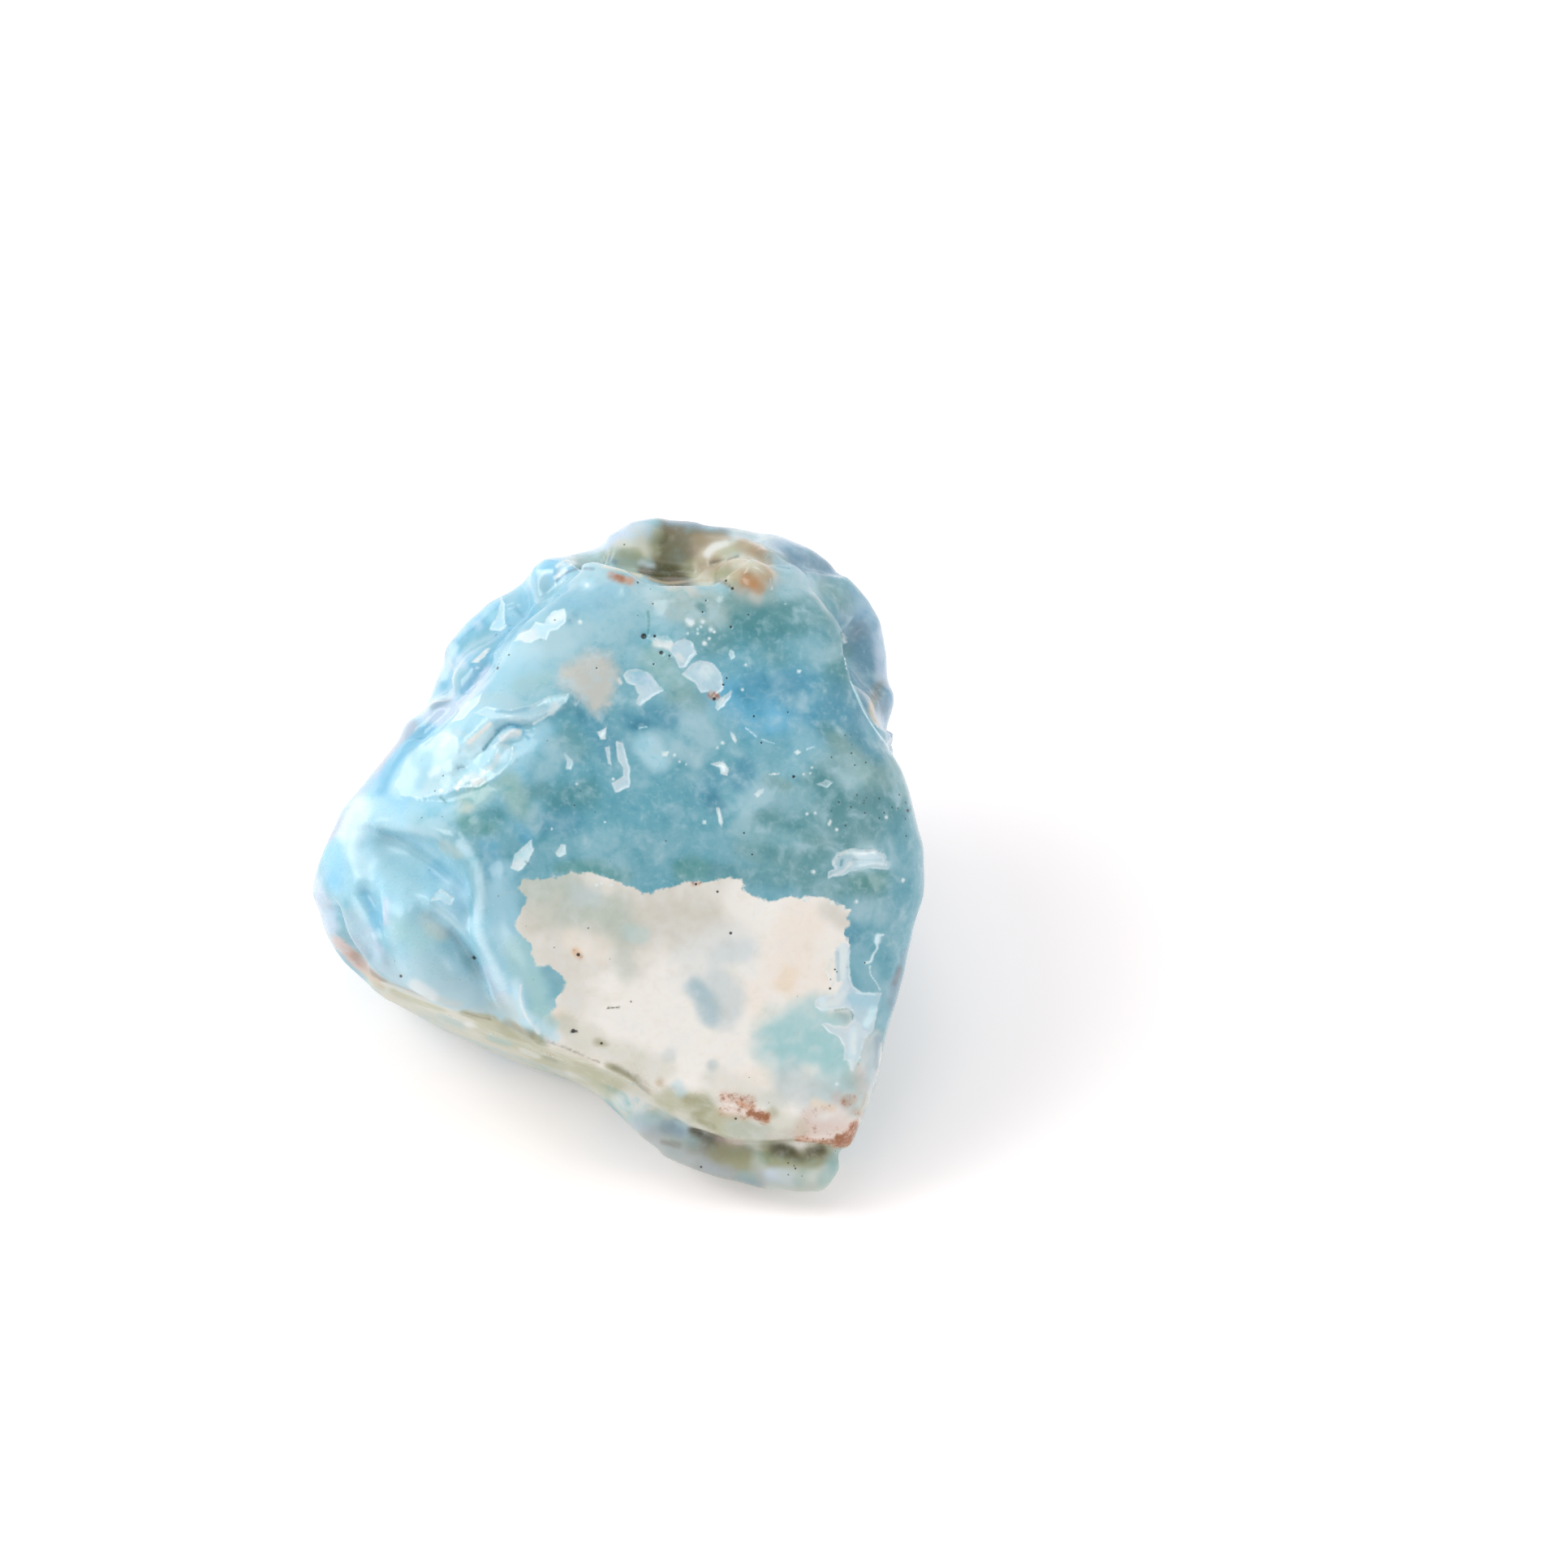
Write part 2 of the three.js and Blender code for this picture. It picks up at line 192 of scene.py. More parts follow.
# Facets: [name, the lamp that it mirrors, colour, strength, outline]. Little flats where the skin broke away
# crisply. Each is painted in its colour with a chalk rim: pale chips whose colour also stands in for the
# lamps' reflections in them, so partly painted highlight; the chalk and glow ones and the rims are painted
# highlights.
# One that mirrors no lamp only lies a step lower than the skin round it.
FACETS = [
    ["fin", None, "flake", 0.85, [
        (-0.6, 11.2), (-0.3, 11.5), (0.3, 11.55), (0.8, 11.4), (1.3, 10.9), (1.9, 10.2), (1.2, 9.9),
        (0.4, 9.3), (0.15, 9.5), (0.35, 10.0), (0.1, 10.5), (-0.4, 10.7)]],
    ["chip above the fan", None, "flake", 0.7, [
        (0.8, 13.4), (1.5, 13.6), (2.2, 13.5), (2.4, 13.1), (3.1, 13.4), (3.6, 13.1), (3.85, 12.5),
        (3.4, 12.1), (3.2, 11.7), (2.8, 11.6), (2.5, 12.2), (2.1, 12.8), (1.5, 12.9)]],
    ["fan", None, "flake", 0.8, [
        (2.9, 11.2), (3.5, 11.9), (4.2, 12.1), (4.8, 11.9), (5.3, 11.3), (5.5, 10.4), (4.8, 9.8),
        (4.5, 10.2), (4.1, 10.1), (3.7, 10.7)]],
    ["sliver by the fan", None, "flake", 0.85, [
        (6.0, 10.3), (5.9, 9.8), (5.5, 9.3), (5.1, 9.0), (4.9, 9.2), (5.0, 9.7), (5.4, 9.9)]],
    ["chip by the fan", None, "frost", 0.8, [
        (5.75, 12.4), (5.85, 12.7), (6.1, 12.6), (6.15, 12.3), (5.95, 12.1)]],
    ["bracket", None, "flake", 0.75, [
        (11.75, -1.15), (11.8, -0.7), (12.15, -0.5), (12.0, 0.0), (12.3, 0.45), (12.7, 0.5), (13.1, 0.75),
        (13.8, 0.65), (14.5, 0.75), (14.9, 0.55), (15.2, 0.4), (15.25, 0.05), (15.5, -0.1), (15.4, -0.6),
        (15.0, -0.6), (14.6, -0.5), (13.9, -0.6), (13.2, -0.65), (12.6, -0.95), (12.1, -1.0)]],
    ["star", None, "flake", 0.85, [
        (12.2, -5.3), (12.7, -5.0), (13.1, -5.1), (13.1, -7.0), (13.3, -7.6), (13.9, -8.0), (15.0, -8.0),
        (14.8, -8.8), (14.7, -9.6), (14.5, -10.3), (14.0, -10.8), (13.7, -11.9), (13.3, -12.8),
        (13.0, -12.1), (12.7, -12.1), (12.8, -11.2), (12.4, -10.7), (11.7, -10.3), (11.3, -9.9),
        (11.7, -9.8), (12.2, -10.0), (12.9, -10.0), (13.3, -9.6), (13.2, -9.1), (12.6, -8.95), (11.4, -9.1),
        (11.0, -8.9), (11.0, -8.5), (11.5, -8.2), (12.2, -8.1), (12.6, -7.5)]],
    ["patch beside the star", None, "cream", 0.75, [
        (11.6, -6.6), (11.9, -5.9), (12.3, -5.9), (12.3, -7.5), (12.0, -7.8), (11.8, -7.2)]],
    ["hook", None, "flake", 0.85, [
        (-1.0, 7.2), (-0.6, 7.1), (-0.4, 6.3), (-0.2, 5.7), (-0.2, 4.4), (-1.1, 4.1), (-1.3, 4.7),
        (-0.6, 5.1), (-0.6, 5.6), (-0.9, 6.0), (-1.0, 6.6)]],
    ["hook's tip", "top window", "chalk", 0.85, [(-2.2, 7.7), (-1.6, 8.0), (-1.6, 7.3), (-2.0, 7.3)]],
    ["hook's flank", None, "flake", 0.7, [(-1.7, 6.8), (-1.4, 6.9), (-1.3, 5.7), (-1.5, 5.8)]],
    ["middle chip", "top window", "chalk", 0.85, [
        (4.7, 5.8), (5.4, 6.0), (5.8, 5.5), (5.7, 5.1), (5.3, 5.2), (5.2, 5.6)]],
    ["small middle chip", "top window", "chalk", 0.85, [(1.7, 6.6), (2.2, 6.6), (2.1, 6.3), (1.8, 6.3)]],
    ["long chip", "top window", "chalk", 0.85, [
        (5.85, 7.8), (6.1, 7.6), (6.3, 7.2), (6.2, 7.05), (6.0, 7.3)]],
    ["dash", "top window", "chalk", 0.85, [(8.1, 5.2), (8.5, 5.28), (8.9, 5.2), (8.5, 5.12)]],
    ["bright dot", "top window", "chalk", 0.85, [(9.7, 6.55), (9.95, 6.65), (10.15, 6.5), (9.9, 6.35)]],
    ["lower bright dot", "top window", "chalk", 0.85, [
        (9.85, 11.5), (10.2, 11.5), (10.1, 11.3), (9.9, 11.35)]],
    ["blob", "top window", "chalk", 0.85, [(7.3, 3.95), (7.5, 4.2), (8.0, 4.35), (7.85, 4.05), (7.5, 3.8)]],
    ["upright sliver", "top window", "chalk", 0.85, [
        (5.0, 3.2), (5.25, 3.2), (5.4, 2.3), (5.3, 1.95), (5.15, 2.4)]],
    ["dot by the sliver", "top window", "chalk", 0.85, [(4.15, 2.4), (4.4, 2.4), (4.4, 2.15), (4.2, 2.15)]],
    ["right dot", "right window", "chalk", 0.85, [(11.75, 2.2), (11.85, 2.5), (12.0, 2.4), (11.85, 2.05)]],
    ["leaf", None, "haze", 0.6, [(11.0, 4.6), (11.6, 4.85), (12.1, 4.7), (11.7, 4.4)]],
    ["chip on the edge", "right window", "chalk", 0.85, [
        (12.4, 13.9), (12.7, 13.8), (12.85, 13.4), (12.95, 13.2), (12.75, 13.1), (12.6, 13.4)]],
    ["left chip", None, "glow", 0.9, [
        (-7.4, -0.5), (-7.1, 0.4), (-6.1, 1.3), (-6.0, 0.6), (-6.4, -0.3), (-6.9, -0.7)]],
    ["small left chip", None, "glow", 0.8, [
        (-4.7, 0.4), (-4.3, 1.0), (-4.0, 0.9), (-4.1, 0.4), (-4.4, 0.2)]],
    ["chip in the lobe", None, "glow", 0.85, [
        (-12.2, -2.5), (-11.9, -1.9), (-11.6, -1.7), (-10.8, -2.3), (-11.0, -2.7), (-11.7, -2.4)]],
    ["blade on the knob", None, "frost", 0.75, [
        (-7.95, 15.9), (-7.75, 15.5), (-7.75, 14.7), (-7.65, 14.1), (-8.0, 13.8), (-8.7, 13.9),
        (-8.2, 14.8)]],
    ["bar under the knob", None, "frost", 0.85, [
        (-7.3, 13.2), (-6.9, 13.6), (-6.3, 13.9), (-5.9, 14.4), (-5.4, 14.3), (-5.1, 14.8), (-4.7, 15.1),
        (-4.1, 15.2), (-4.0, 14.4), (-4.5, 14.0), (-5.0, 13.8), (-5.2, 13.3), (-5.7, 13.4), (-6.2, 13.1),
        (-6.8, 13.3)]],
    ["sliver under the knob", None, "dove", 0.8, [
        (-9.8, 11.9), (-9.1, 12.5), (-8.7, 12.9), (-8.7, 12.6), (-9.3, 11.9)]],
    ["tadpole", None, "frost", 0.8, [
        (-4.2, 6.5), (-3.9, 6.3), (-3.6, 5.9), (-3.7, 5.5), (-4.1, 5.5), (-4.0, 6.0)]],
    # A painted highlight: the broad reflection on the shoulder, painted pale.
    ["shoulder patch", None, "glow", 0.5, [
        (-14.4, 4.5), (-14.0, 5.3), (-13.6, 6.4), (-12.6, 7.2), (-11.4, 7.8), (-10.6, 7.4), (-10.5, 6.4),
        (-9.8, 6.2), (-8.9, 6.8), (-8.1, 7.1), (-7.2, 6.9), (-7.3, 6.0), (-8.0, 5.2), (-9.3, 4.4),
        (-10.6, 4.4), (-11.6, 4.0), (-12.8, 3.7), (-14.0, 3.9)]],
    # The next two are painted highlights along the edges of the fold and of the crease.
    ["fold's white edge", None, "frost", 0.45, [
        (-9.7, 8.9), (-8.8, 9.3), (-7.4, 9.0), (-6.2, 9.3), (-5.1, 9.9), (-3.8, 10.1), (-4.0, 9.5),
        (-5.2, 8.9), (-6.3, 8.5), (-7.4, 8.6), (-8.8, 8.6)]],
    ["white edge of the crease", None, "glow", 0.6, [
        (-11.0, 8.3), (-10.2, 9.4), (-9.1, 10.1), (-9.4, 9.4), (-10.3, 8.5)]],
    ["crown chip", None, "frost", 0.8, [
        (-4.8, 17.1), (-4.4, 17.9), (-3.7, 18.1), (-3.3, 18.0), (-4.1, 17.6), (-4.4, 17.1)]],
]

# ---------------------------------------------------------------- colour
# Colours as they show under the studio's light, out of 255.

COLOURS = {
    "water": (124, 176, 190),
    "lagoon": (112, 170, 186),
    "deep": (92, 152, 176),
    "ink": (74, 134, 158),
    "azure": (114, 178, 206),
    "sky": (146, 204, 234),
    "ice": (164, 210, 227),
    "mist": (152, 194, 206),
    "haze": (173, 205, 215),
    "frost": (197, 229, 241),
    "glow": (219, 244, 251),
    "lilac": (198, 214, 232),
    "steel": (130, 157, 174),
    "teal": (90, 145, 151),
    "sea": (112, 160, 167),
    "jade": (94, 150, 143),
    "sage": (132, 168, 168),
    "reed": (152, 188, 186),
    "pebble": (172, 194, 192),
    "sand": (205, 201, 192),
    "straw": (208, 208, 193),
    "khaki": (184, 186, 158),
    "olive": (160, 161, 126),
    "bark": (128, 119, 95),
    "peat": (88, 88, 66),
    "cream": (245, 242, 236),
    "oat": (214, 211, 201),
    "fern": (190, 200, 190),
    "pearl": (230, 233, 232),
    "blush": (246, 236, 225),
    "apricot": (242, 224, 200),
    "rose": (208, 184, 176),
    "aqua": (170, 211, 214),
    "dove": (197, 210, 213),
    "slate": (166, 195, 205),
    "clay": (197, 179, 152),
    "orange": (190, 142, 100),
    "rust": (206, 140, 92),
    "brick": (154, 96, 60),
    "chalk": (228, 240, 242),
    "flake": (206, 225, 235),
    "dusk": (150, 182, 208),
    "moss": (99, 98, 70),
    "taupe": (122, 112, 100),
    "ash": (176, 186, 202),
    "grain": (50, 45, 36),
}

# Brush strokes of the blue rock, [colour, radius, strength, path], each laid over the ones before it. Their
# paths lie on the front of the stone.
ROCK_STROKES = [
    # The broad masses.
    ["ice", 4.0, 1.0, [(-17, 1), (-14, -2), (-11, -6), (-8, -8)]],
    ["ice", 3.4, 1.0, [(-15, 3), (-11, 9), (-8, 13), (-5, 16)]],
    ["ice", 2.4, 0.9, [(-13.5, 5), (-10.5, 6), (-7.5, 7.5)]],
    ["haze", 2.2, 0.9, [(-4, 16), (0, 15.6), (3, 15.4)]],
    ["pebble", 1.6, 0.9, [(3, 15.6), (5, 15.4), (9, 16.2)]],
    ["mist", 2.6, 0.8, [(-7, 11.6), (-2.5, 14), (1, 13.4)]],
    ["teal", 2.4, 1.0, [(6.2, 13.8), (9.8, 14.2)]],
    ["sea", 2.4, 0.9, [(12, 14.6), (12.6, 12), (12.8, 10.2)]],
    ["lagoon", 2.2, 0.8, [(6.6, 11.6), (10, 12.2)]],
    ["azure", 2.6, 1.0, [(6.2, 9.6), (9.4, 8.8), (11.4, 7.6)]],
    ["lagoon", 1.6, 0.9, [(12.6, 8.6), (14.6, 6.8)]],
    ["mist", 1.8, 0.9, [(1.6, 7.2), (4.4, 8.0)]],
    ["lagoon", 2.8, 1.0, [(-4.6, 7.6), (-3.4, 4.4), (0.6, 3.4), (3.6, 3.4)]],
    ["water", 2.2, 0.8, [(4.4, 6.4), (8.6, 6.4)]],
    ["mist", 1.8, 0.8, [(6.6, 3.6), (8.6, 3.8), (10.4, 4.8)]],
    ["sage", 2.2, 0.9, [(12.4, 5.6), (15.2, 4.6)]],
    ["sea", 2.4, 0.9, [(12.6, 3.6), (14.4, 2.4), (9.4, 2.2)]],
    ["sage", 1.8, 0.6, [(7.4, 1.4), (11, 0.2)]],
    ["water", 1.6, 0.9, [(-5.6, -0.2), (0, 0.2), (4.4, 1.0)]],
    ["sea", 1.2, 0.9, [(11.4, -1.4), (15.4, -1.6)]],
    ["water", 2.2, 0.9, [(16.6, 1.4), (17.2, -2.4), (16.2, -5.6)]],
    ["lagoon", 1.6, 0.8, [(13.2, -4.4), (14.4, -6.6)]],
    ["dusk", 1.8, 0.9, [(13.6, 14.8), (14.6, 11.6), (15.4, 8.4)]],
    ["steel", 1.0, 0.9, [(13.6, 13.8), (14.1, 11.8), (14.7, 9.4)]],
    ["deep", 0.8, 0.6, [(13.8, 12.8), (14.4, 10.8)]],
    ["lilac", 2.2, 0.8, [(9.0, 19.4), (12.4, 17.8)]],
    ["haze", 1.4, 0.8, [(-1.6, 19.0), (0.6, 20.0)]],
    # The knob and the crown's left end.
    ["azure", 2.2, 0.8, [(-10.6, 11.6), (-7.8, 15.2)]],
    ["water", 0.8, 0.7, [(-9.6, 12.9), (-8.8, 13.3)]],
    ["sky", 0.35, 0.7, [(-10.6, 13.6), (-9.2, 14.8), (-8.0, 15.7)]],
    ["frost", 0.35, 0.7, [(-11.4, 11.2), (-10.9, 12.8)]],
    ["lilac", 0.3, 0.6, [(-10.5, 12.1), (-10.2, 11.7)]],
    ["lilac", 0.35, 0.6, [(-9.4, 14.2)]],
    ["ice", 0.5, 0.7, [(-8.8, 15.0), (-8.3, 14.8)]],
    ["sky", 1.0, 0.7, [(-5.8, 17.0), (-4.4, 17.8)]],
    ["azure", 0.5, 0.4, [(-8.2, 13.0), (-7.6, 14.6), (-6.6, 15.6)]],
    ["ice", 0.8, 0.8, [(-7.2, 15.2), (-6.6, 16.2)]],
    ["mist", 0.8, 0.8, [(-10.8, 11.2), (-10.0, 10.6)]],
    ["lilac", 0.7, 0.9, [(-12.2, 8.7), (-10.4, 9.4), (-9.0, 11.2)]],
    ["steel", 0.3, 0.8, [(-12.0, 9.3), (-11.2, 9.7)]],
    ["azure", 0.22, 0.8, [(-10.3, 10.2), (-9.6, 11.0), (-8.6, 12.4)]],
    ["haze", 0.5, 0.8, [(-5.5, 16.9), (-5.6, 15.9)]],
    ["azure", 0.22, 0.6, [(-6.3, 16.4), (-6.3, 15.9)]],
    ["azure", 0.45, 0.3, [(-6.6, 15.8), (-5.9, 14.9)]],
    ["mist", 0.9, 0.8, [(-4.8, 16.0), (-3.0, 15.6), (-1.6, 15.0)]],
    # A painted highlight: a small glint on the crown.
    ["frost", 0.4, 0.9, [(-2.9, 16.6), (-2.5, 16.6)]],
    ["deep", 0.3, 0.6, [(-2.0, 15.6), (-0.9, 15.2)]],
    ["deep", 0.35, 0.6, [(-3.8, 14.5), (-3.5, 14.8)]],
    ["haze", 1.0, 0.7, [(-1.6, 16.6), (0.6, 16.2)]],
    ["azure", 1.2, 0.45, [(-4.6, 15.8), (-1.8, 15.8)]],
    ["sand", 1.3, 0.35, [(2.0, 15.8), (4.2, 15.4)]],
    ["sage", 1.1, 0.45, [(2.6, 15.6), (4.4, 15.0)]],
    ["sage", 1.2, 0.45, [(2.6, 15.4), (4.2, 15.0)]],
    ["sand", 1.2, 0.2, [(2.6, 15.4), (4.2, 15.0)]],
    # The bowl, the curl and the knot. The bowl's olive and brown are the rock's own, darkened further as
    # painted shade in its hollow, most of all in the peat strokes behind the rim.
    ["bark", 1.5, 1.0, [(2.4, 19.4), (3.4, 18.6), (3.0, 17.6)]],
    ["bark", 0.9, 1.0, [(1.7, 18.4), (1.8, 17.9), (2.6, 17.6), (3.6, 17.5)]],
    ["bark", 0.9, 1.0, [(2.6, 19.6), (3.8, 19.2), (5.0, 19.3)]],
    ["straw", 0.6, 1.0, [(5.2, 18.0), (6.2, 18.2), (7.4, 18.4)]],
    ["lilac", 0.8, 0.9, [(-1.8, 18.6), (-0.9, 19.5), (0.2, 20.1)]],
    ["dove", 0.8, 0.9, [(0.3, 19.8), (1.0, 19.4)]],
    ["straw", 0.6, 0.9, [(-0.6, 18.9), (0.4, 18.9), (0.8, 18.7)]],
    ["khaki", 0.35, 0.8, [(0.1, 18.55), (0.6, 18.5)]],
    ["pebble", 0.45, 0.8, [(-1.0, 18.5), (-0.4, 18.3)]],
    ["steel", 0.35, 0.8, [(2.2, 20.45), (4.2, 20.25), (5.6, 20.05)]],
    ["clay", 0.5, 0.5, [(3.8, 19.3), (5.2, 19.4)]],
    ["rose", 0.45, 0.35, [(3.4, 18.6), (4.2, 18.4)]],
    ["moss", 0.9, 0.9, [(1.9, 19.0), (2.3, 18.2)]],
    ["moss", 0.9, 0.8, [(2.6, 19.2), (2.8, 18.4), (2.4, 17.6)]],
    ["peat", 0.6, 0.5, [(1.6, 18.3), (2.0, 17.6), (2.6, 17.2)]],
    ["olive", 0.6, 0.6, [(3.4, 17.6), (4.4, 17.6)]],
    ["khaki", 0.3, 0.7, [(3.2, 17.1), (4.4, 17.1)]],
    ["pebble", 0.6, 0.9, [(-1.8, 18.2), (-0.4, 18.0), (0.6, 17.7)]],
    ["olive", 0.6, 0.45, [(-1.4, 18.3), (-0.4, 18.0), (0.6, 17.8)]],
    ["steel", 0.2, 0.8, [(-1.4, 18.2), (-1.1, 18.0)]],
    ["pebble", 0.6, 0.9, [(-3.4, 18.0), (-2.4, 18.0)]],
    ["dove", 0.22, 0.8, [(0.5, 17.95), (1.2, 17.7)]],
    ["taupe", 0.35, 0.9, [(0.6, 17.45), (1.4, 17.3)]],
    # Painted shade in the hollow just behind the bowl's rim.
    ["peat", 0.5, 1.0, [(1.4, 17.25), (2.4, 17.1), (2.9, 17.05)]],
    ["taupe", 0.35, 0.7, [(2.2, 16.95), (3.0, 17.0)]],
    ["dove", 0.7, 0.8, [(6.4, 19.7), (7.4, 19.6), (8.4, 19.2)]],
    ["sea", 0.4, 0.7, [(7.7, 19.1), (8.3, 18.7)]],
    ["dusk", 0.9, 0.8, [(8.8, 18.6), (10.4, 18.2), (12.0, 17.6)]],
    ["straw", 0.5, 1.0, [(4.6, 18.4), (5.2, 18.9), (6.0, 19.0), (7.0, 18.9)]],
    ["pearl", 0.25, 0.35, [(4.7, 18.5), (5.2, 18.9)]],
    ["khaki", 0.45, 0.8, [(5.2, 18.4), (6.2, 18.8), (7.2, 18.8)]],
    ["clay", 0.6, 0.9, [(6.8, 19.0), (7.6, 18.7), (8.2, 18.2)]],
    ["bark", 0.5, 0.4, [(7.2, 18.6), (8.0, 18.2)]],
    ["orange", 0.3, 0.4, [(7.3, 18.7), (7.9, 18.5)]],
    ["straw", 0.8, 1.0, [(4.4, 17.0), (5.4, 17.3), (6.4, 17.5), (7.4, 17.4)]],
    ["sand", 0.8, 0.7, [(6.6, 18.0), (7.8, 17.6), (8.2, 16.9)]],
    ["clay", 0.4, 0.7, [(5.8, 17.7), (6.6, 17.8)]],
    ["clay", 1.0, 0.85, [(4.8, 17.7), (6.0, 17.3), (7.4, 17.0)]],
    ["khaki", 0.4, 0.6, [(5.2, 17.4), (6.0, 17.5)]],
    ["sand", 0.6, 0.7, [(6.3, 16.2), (7.4, 15.8)]],
    ["orange", 0.45, 0.6, [(6.8, 17.1), (7.2, 16.8), (7.6, 16.4)]],
    ["orange", 0.3, 0.5, [(6.6, 16.7), (7.2, 16.8)]],
    ["bark", 0.4, 0.35, [(6.0, 16.6), (6.8, 16.3)]],
    ["clay", 0.4, 0.7, [(7.8, 18.0), (8.3, 17.3)]],
    ["bark", 0.6, 0.45, [(3.6, 19.6), (4.4, 19.4), (5.4, 19.5)]],
    ["bark", 0.6, 0.4, [(6.6, 19.0), (7.4, 18.8), (8.1, 18.3)]],
    ["bark", 0.7, 0.3, [(4.6, 17.8), (5.6, 17.5), (6.6, 17.7)]],
    ["bark", 0.5, 0.2, [(6.9, 17.0), (7.5, 16.5)]],
    ["pearl", 0.25, 0.6, [(4.5, 18.5), (4.9, 18.9), (5.6, 19.15)]],
    ["taupe", 0.12, 0.7, [(4.6, 17.9), (5.4, 18.1), (6.3, 18.35)]],
    ["taupe", 0.16, 0.7, [(5.0, 16.9), (5.5, 16.8), (6.0, 16.4)]],
    ["sand", 0.5, 0.6, [(2.4, 16.5), (3.4, 16.3)]],
    ["straw", 0.2, 0.9, [(-1.7, 17.75), (-0.6, 17.5), (0.4, 17.2)]],
    ["rust", 0.28, 0.7, [(-1.4, 17.25), (-0.8, 17.05), (-0.2, 16.9)]],
    ["brick", 0.28, 0.8, [(-1.25, 17.15), (-0.7, 17.03)]],
    ["straw", 0.4, 0.7, [(0.5, 19.3), (0.8, 18.8)]],
    ["olive", 0.45, 0.5, [(1.5, 19.8), (1.2, 19.3), (1.3, 18.6)]],
    ["olive", 0.35, 0.5, [(-0.5, 18.6), (0.2, 18.45)]],
    ["taupe", 0.3, 0.4, [(2.0, 20.1), (3.0, 20.0)]],
    ["olive", 0.4, 0.5, [(5.0, 17.25), (5.6, 17.3), (6.1, 17.1)]],
    ["straw", 0.4, 0.6, [(6.2, 17.9), (7.0, 17.9), (7.6, 17.7)]],
    ["khaki", 0.3, 0.5, [(5.6, 17.0), (6.2, 16.6)]],
    ["orange", 0.3, 0.5, [(6.9, 16.9), (7.3, 16.6)]],
    ["bark", 0.4, 0.4, [(7.6, 18.6), (8.1, 18.2)]],
    ["bark", 0.4, 0.25, [(7.9, 17.5), (8.1, 17.0)]],
    ["teal", 0.5, 0.25, [(6.0, 15.9), (6.7, 15.8)]],
    ["haze", 0.9, 0.8, [(9.2, 16.4), (10.8, 16.8)]],
    ["sage", 0.8, 0.7, [(11.8, 16.6), (12.8, 15.4)]],
    ["sage", 0.7, 0.7, [(5.6, 15.7), (6.6, 15.4)]],
    ["steel", 0.9, 0.7, [(9.4, 18.4), (11.6, 17.8)]],
    ["sage", 0.5, 0.6, [(8.4, 18.7), (9.2, 18.1)]],
    # Under the crown.
    ["mist", 1.1, 0.8, [(-0.6, 14.8), (1.0, 14.2)]],
    ["haze", 0.9, 0.4, [(1.8, 15.8), (3.4, 14.7)]],
    ["pebble", 0.8, 0.6, [(3.0, 15.4), (5.2, 14.6)]],
    ["teal", 0.25, 0.7, [(4.1, 15.3), (4.3, 14.9)]],
    ["sea", 1.0, 0.7, [(3.9, 13.4), (5.2, 13.2)]],
    ["reed", 0.9, 0.7, [(1.0, 12.2), (3.0, 10.4)]],
    ["sage", 0.8, 0.6, [(2.6, 9.8), (3.8, 9.6)]],
    ["haze", 1.0, 0.7, [(-6.0, 12.4), (-4.0, 13.4)]],
    ["frost", 0.8, 0.4, [(-7.6, 12.4), (-6.2, 12.6)]],
    ["ice", 1.2, 0.6, [(-7.6, 10.8), (-6.4, 11.4)]],
    ["reed", 0.7, 0.5, [(-6.6, 10.4), (-5.4, 10.8)]],
    ["mist", 0.9, 0.7, [(-6.4, 9.9), (-4.6, 10.2)]],
    ["haze", 0.7, 0.8, [(-9.0, 9.4), (-7.6, 9.4)]],
    # The deep blues and teals of the main face.
    ["teal", 1.2, 0.6, [(7.4, 14.6), (9.4, 14.4)]],
    ["teal", 0.96, 0.52, [(7.8, 12.9), (8.6, 12.4)]],
    ["mist", 0.9, 0.35, [(9.6, 12.8), (10.6, 12.9)]],
    ["water", 0.9, 0.6, [(5.6, 11.6), (7.2, 12.0)]],
    ["teal", 0.72, 0.6, [(12.2, 11.4), (12.8, 12.6)]],
    ["deep", 1.08, 0.6, [(12.0, 10.2), (13.4, 9.0)]],
    ["deep", 1.2, 0.68, [(7.4, 10.4), (9.2, 10.4)]],
    ["azure", 1.2, 0.8, [(7.4, 8.7), (8.8, 8.6)]],
    ["sky", 0.6, 0.4, [(8.6, 8.6), (8.4, 7.9)]],
    ["mist", 0.8, 0.15, [(10.2, 9.3), (11.0, 9.0)]],
    ["deep", 1.4, 0.6, [(10.4, 9.6), (11.6, 8.6)]],
    ["teal", 1.3, 0.7, [(11.2, 4.4), (12.2, 3.4)]],
    ["teal", 1.2, 0.35, [(14.2, 2.6), (15.4, 2.2)]],
    ["teal", 0.54, 0.6, [(11.6, 7.9), (12.0, 7.6)]],
    ["deep", 0.72, 0.6, [(13.5, 7.3), (14.9, 6.5)]],
    ["sage", 0.7, 0.8, [(12.2, 7.2), (13.2, 6.2)]],
    ["mist", 0.9, 0.6, [(10.2, 7.4), (11.2, 6.4)]],
    ["deep", 0.84, 0.68, [(-0.2, 8.5), (2.2, 8.6)]],
    ["ink", 0.3, 0.6, [(0.0, 8.2), (0.8, 8.3)]],
    ["haze", 0.9, 0.7, [(3.6, 8.2), (4.4, 7.4)]],
    ["frost", 0.8, 0.6, [(0.9, 6.9), (1.4, 6.0)]],
    ["haze", 0.6, 0.6, [(2.8, 6.8), (3.8, 6.2)]],
    ["deep", 0.96, 0.52, [(5.0, 5.0), (4.4, 4.2)]],
    ["deep", 0.72, 0.68, [(6.7, 5.4), (6.4, 4.6)]],
    ["ink", 0.6, 0.6, [(4.8, 3.9), (5.1, 3.2)]],
